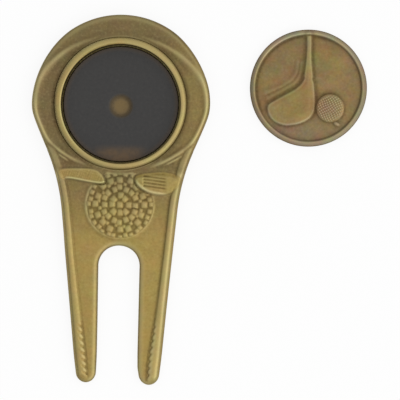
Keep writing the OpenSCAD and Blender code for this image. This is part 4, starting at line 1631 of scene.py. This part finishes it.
class MarkerStriker:
    """Builds the coin: rim, field with its relief, edge and plain back."""

    # Lines of mesh points beside the driver's outline
    DRIVER_LINES = (-0.05, 0.15, 0.35)
    # Least gap of inner points to the field's border, and to points on lines, over the ball and elsewhere
    BORDER_GAP = 0.12
    POINT_GAPS = (0.08, 0.06, 0.1)
    RIM_RINGS = 16
    EDGE_TURNS = (30, 60, 90)

    def __init__(self, scene):
        self.sizes = in_millimetres(scene.divot_marker)
        self.relief = CoinRelief(self.sizes)
        self.finish = CoinFinish(self.relief, in_millimetres(scene.divot_wear))
        self.centre = np.array((MARKER_LOW + MARKER_HIGH)[:2]) / 2 / MM
        self.radius = self.relief.radius
        self.top = MARKER_HIGH.z / MM
        self.bottom = MARKER_LOW.z / MM
        self.draft = MeshDraft()

    def add_face_points(self, xy):
        """Adds points of the face, given from the coin's centre."""
        x, y = xy.T
        z = self.top - self.sizes.sink + self.relief.rise(x, y)
        return self.draft.add(xy + self.centre, z, **self.finish.masks(x, y))

    def add_ring(self, inset, z, **masks):
        """Adds a ring of the edge or the back, that far inside the coin's edge."""
        return self.draft.add(circle(self.radius - inset, MARKER_STEPS, self.centre), z, **masks)

    def inner_points(self, radius):
        """Points inside the field: the driver's outline first, then a finer and a coarser honeycomb."""
        sizes = self.sizes
        bed = PointBed((-radius, -radius), (radius, radius))
        bed.block(circle(radius, MARKER_STEPS), self.BORDER_GAP)
        outline = resample(anticlockwise(self.relief.driver), DRIVER_SPACING)

        def on_field(x, y):
            """Whether points lie clear of the field's border."""
            return np.hypot(x, y) < radius - 0.08

        def on_ball(x, y):
            """Whether points lie on the ball or close to it."""
            return np.hypot(x - sizes.ball_x, y - sizes.ball_y) < sizes.ball_radius + 0.3

        lines = offset_lines(outline, self.DRIVER_LINES)
        return bed.lay(lines, (PEBBLE_SPACING, FIELD_SPACING), self.POINT_GAPS, on_field, on_ball)

    def strike(self, material):
        """Puts the coin together."""
        draft, rounding = self.draft, self.sizes.edge_round
        field_edge = self.radius - self.sizes.rim_width - 0.1
        inner = self.inner_points(field_edge)
        start = self.add_face_points(inner)
        rings = []
        for radius in np.linspace(field_edge, self.radius - rounding, self.RIM_RINGS):
            rings.append(self.add_face_points(circle(radius, MARKER_STEPS)))
        height = draft.points[-1][0, 2]
        turns = np.radians(self.EDGE_TURNS)
        for turn in turns:
            inset, drop = rounding * (1 - math.sin(turn)), rounding * (1 - math.cos(turn))
            rings.append(self.add_ring(inset, height - drop, hollow=0.45, worn=0.1, tarnish=0.3))
        for z in (self.bottom + 0.6, self.bottom + rounding):
            rings.append(self.add_ring(0, z, hollow=0.4, worn=0.05, tarnish=0.4))
        for turn in turns:
            inset, rise = rounding * (1 - math.cos(turn)), rounding * (1 - math.sin(turn))
            rings.append(self.add_ring(inset, self.bottom + rise, hollow=0.3, worn=0.2, tarnish=0.4))
        rings.append(self.add_ring(1, self.bottom, hollow=0.1, worn=0.1, tarnish=0.4))
        draft.loft(rings, MARKER_STEPS)
        draft.fill([(rings[0], MARKER_STEPS)], np.arange(start, start + len(inner)))
        draft.fill([(rings[-1], MARKER_STEPS)], flip=True)
        return draft.build("marker_coin", material, CREASE)


def ring_magnet(scene, material):
    """The magnet: a flat ring with eased edges and a stained hole a little below its centre."""
    sizes = in_millimetres(scene.divot_magnet)
    outer = MAGNET_HIGH.x / MM
    top, bottom = MAGNET_HIGH.z / MM, MAGNET_LOW.z / MM
    rounding = sizes.edge_round
    draft = MeshDraft()

    def ring(part, inset, z):
        """A ring between the hole, at part 0, and the outer edge, at part 1."""
        radius = sizes.hole_radius + part * (outer - sizes.hole_radius)
        radius += inset if part == 0 else -inset if part == 1 else 0
        return draft.add(circle(radius, MAGNET_STEPS, (0, -sizes.hole_drop * (1 - part))), z)

    skin = bottom + rounding
    rings = [draft.add(circle(0.6, MAGNET_STEPS, (0, -sizes.hole_drop)), skin)]
    for part in np.linspace(0, 1, 9):
        rings.append(ring(0, sizes.dish * (2 * part - 1), skin + (top - skin) * ease(part, 0, 1)))
    rings += [ring(part, 0, top) for part in (0.15, 0.4, 0.7, 0.95)]
    for turn in (0, 0.5, 1.0, 1.57):
        rings.append(ring(1, rounding * (1 - math.sin(turn)), top - rounding * (1 - math.cos(turn))))
    rings += [ring(1, 0, skin), ring(1, rounding, bottom)]
    draft.loft(rings, MAGNET_STEPS)
    draft.cap(rings[0], MAGNET_STEPS)
    draft.cap(rings[-1], MAGNET_STEPS, flip=True)
    return draft.build("ring_magnet", material, CREASE)


class DIVOT_OT_fork(Operator):
    """Casts the fork with its relief and the marker's seat"""

    bl_idname = "divot.cast_fork"
    bl_label = "Cast fork"

    def execute(self, context):
        material = antique_metal("antique_brass", context.scene.divot_colours, "brass")
        piece = ForkCaster(context.scene).cast(material)
        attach(piece, "tool")
        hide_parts("fork_body")
        return {"FINISHED"}


class DIVOT_OT_magnet(Operator):
    """Sets the ring magnet into its pocket"""

    bl_idname = "divot.set_magnet"
    bl_label = "Set magnet"

    def execute(self, context):
        scene = context.scene
        material = bonded_magnet(scene.divot_colours, scene.divot_magnet.hole_drop)
        piece = ring_magnet(scene, material)
        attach(piece, "tool")
        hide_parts("magnet")
        return {"FINISHED"}


class DIVOT_OT_glue(Operator):
    """Gives the glue under the magnet its finish"""

    bl_idname = "divot.dress_glue"
    bl_label = "Dress glue"

    def execute(self, context):
        glue = frame["nodes"]["magnet_glue"]
        glue.data.materials.clear()
        glue.data.materials.append(dried_glue(context.scene.divot_colours))
        return {"FINISHED"}


class DIVOT_OT_marker(Operator):
    """Strikes the loose ball marker"""

    bl_idname = "divot.strike_marker"
    bl_label = "Strike marker"

    def execute(self, context):
        material = antique_metal("antique_plating", context.scene.divot_colours, "plating")
        piece = MarkerStriker(context.scene).strike(material)
        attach(piece, "marker")
        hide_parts("ball_marker")
        return {"FINISHED"}


class DIVOT_OT_stage(Operator):
    """Sets up the floor, the room light, the softbox and the camera"""

    bl_idname = "divot.set_stage"
    bl_label = "Set stage"

    def execute(self, context):
        scene = context.scene
        stage = scene.divot_stage
        scene.view_settings.view_transform = "Standard"
        self.lay_floor(scene, stage)
        self.light_room(scene, stage)
        self.hang_softbox(scene, stage)
        self.place_camera(scene, stage)
        return {"FINISHED"}

    def lay_floor(self, scene, stage):
        """A wide pale floor just below the object."""
        reach, gap = stage.floor_reach, stage.floor_gap
        mesh = bpy.data.meshes.new("floor")
        corners = [(x * reach, y * reach, -gap) for x, y in ((-1, -1), (1, -1), (1, 1), (-1, 1))]
        mesh.from_pydata(corners, [], [(0, 1, 2, 3)])
        material, graph = new_material("studio_floor")
        paint_inputs = {"Color": scene.divot_colours.floor, "Roughness": 0.5}
        paint = graph.node("ShaderNodeBsdfDiffuse", paint_inputs)
        glow = graph.node("ShaderNodeEmission", {"Color": (1, 1, 1, 1), "Strength": 1.0})
        path = graph.node("ShaderNodeLightPath").outputs
        seen = graph.math("ADD", path["Is Camera Ray"], path["Is Glossy Ray"])
        seen = graph.math("ADD", seen, path["Is Transmission Ray"], clamp=True)
        part = graph.math("MULTIPLY", seen, stage.floor_glow)
        surface = graph.node("ShaderNodeMixShader", {0: part, 1: paint.outputs[0], 2: glow.outputs[0]})
        graph.node("ShaderNodeOutputMaterial", {"Surface": surface.outputs[0]})
        mesh.materials.append(material)
        floor = bpy.data.objects.new("floor", mesh)
        scene.collection.objects.link(floor)

    def light_room(self, scene, stage):
        """A room that is brighter overhead than at eye level, and brighter on the right."""
        world = bpy.data.worlds.new("room")
        world.use_nodes = True
        scene.world = world
        graph = Graph(world.node_tree)
        view = graph.node("ShaderNodeTexCoord").outputs["Generated"]
        axes = graph.node("ShaderNodeSeparateXYZ", {"Vector": view}).outputs
        level = graph.span(axes["Z"], 0.0, 1.0, stage.horizon, stage.zenith)
        level = graph.math("ADD", level, graph.math("MULTIPLY", axes["X"], stage.window))
        sky = graph.node("ShaderNodeBackground", {"Color": (1, 1, 1, 1), "Strength": level})
        graph.node("ShaderNodeOutputWorld", {"Surface": sky.outputs[0]})

    def hang_softbox(self, scene, stage):
        """A large softbox overhead, towards the lower right."""
        light = bpy.data.lights.new("softbox", "AREA")
        light.shape = "DISK"
        light.size = stage.softbox_width
        light.energy = stage.softbox_power
        lamp = bpy.data.objects.new("softbox", light)
        lamp.location = (stage.softbox_x, stage.softbox_y, stage.softbox_z)
        aim = Vector((0, 0, 0)) - lamp.location
        lamp.rotation_euler = aim.to_track_quat("-Z", "Y").to_euler()
        scene.collection.objects.link(lamp)

    def place_camera(self, scene, stage):
        """A long lens straight above the face."""
        data = bpy.data.cameras.new("camera")
        data.lens = stage.lens
        camera = bpy.data.objects.new("camera", data)
        distance = stage.field * stage.lens / data.sensor_width
        camera.location = (stage.aim_x, stage.aim_y, stage.aim_height + distance)
        camera.rotation_euler = (0, 0, stage.roll)
        scene.collection.objects.link(camera)
        scene.camera = camera


PROPERTY_GROUPS = {
    "divot_fork": ForkSizes,
    "divot_seat": SeatSizes,
    "divot_relief": ReliefSizes,
    "divot_marker": MarkerSizes,
    "divot_magnet": MagnetSizes,
    "divot_colours": FinishColours,
    "divot_wear": WearShares,
    "divot_stage": StageSettings,
}
OPERATORS = (DIVOT_OT_fork, DIVOT_OT_magnet, DIVOT_OT_glue, DIVOT_OT_marker, DIVOT_OT_stage)


class DIVOT_PT_sidebar(Panel):
    """Lists the steps and the sizes in the 3D view's sidebar"""

    bl_label = "Divot tool"
    bl_idname = "DIVOT_PT_sidebar"
    bl_space_type = "VIEW_3D"
    bl_region_type = "UI"
    bl_category = "Divot tool"

    def draw(self, context):
        layout = self.layout
        for operator in OPERATORS:
            layout.operator(operator.bl_idname)
        for attribute, group in PROPERTY_GROUPS.items():
            box = layout.box()
            box.label(text=group.__doc__)
            for name in group.__annotations__:
                box.prop(getattr(context.scene, attribute), name)


CLASSES = (*PROPERTY_GROUPS.values(), *OPERATORS, DIVOT_PT_sidebar)


def register():
    """Adds the classes and their settings to Blender."""
    for made in CLASSES:
        bpy.utils.register_class(made)
    for attribute, group in PROPERTY_GROUPS.items():
        setattr(bpy.types.Scene, attribute, PointerProperty(type=group))


def unregister():
    """Takes the classes and their settings out again."""
    for attribute in PROPERTY_GROUPS:
        delattr(bpy.types.Scene, attribute)
    for made in reversed(CLASSES):
        bpy.utils.unregister_class(made)


def main():
    """Builds every piece and the stage."""
    register()
    bpy.ops.divot.cast_fork()
    bpy.ops.divot.set_magnet()
    bpy.ops.divot.dress_glue()
    bpy.ops.divot.strike_marker()
    bpy.ops.divot.set_stage()


if __name__ == "__main__":
    main()
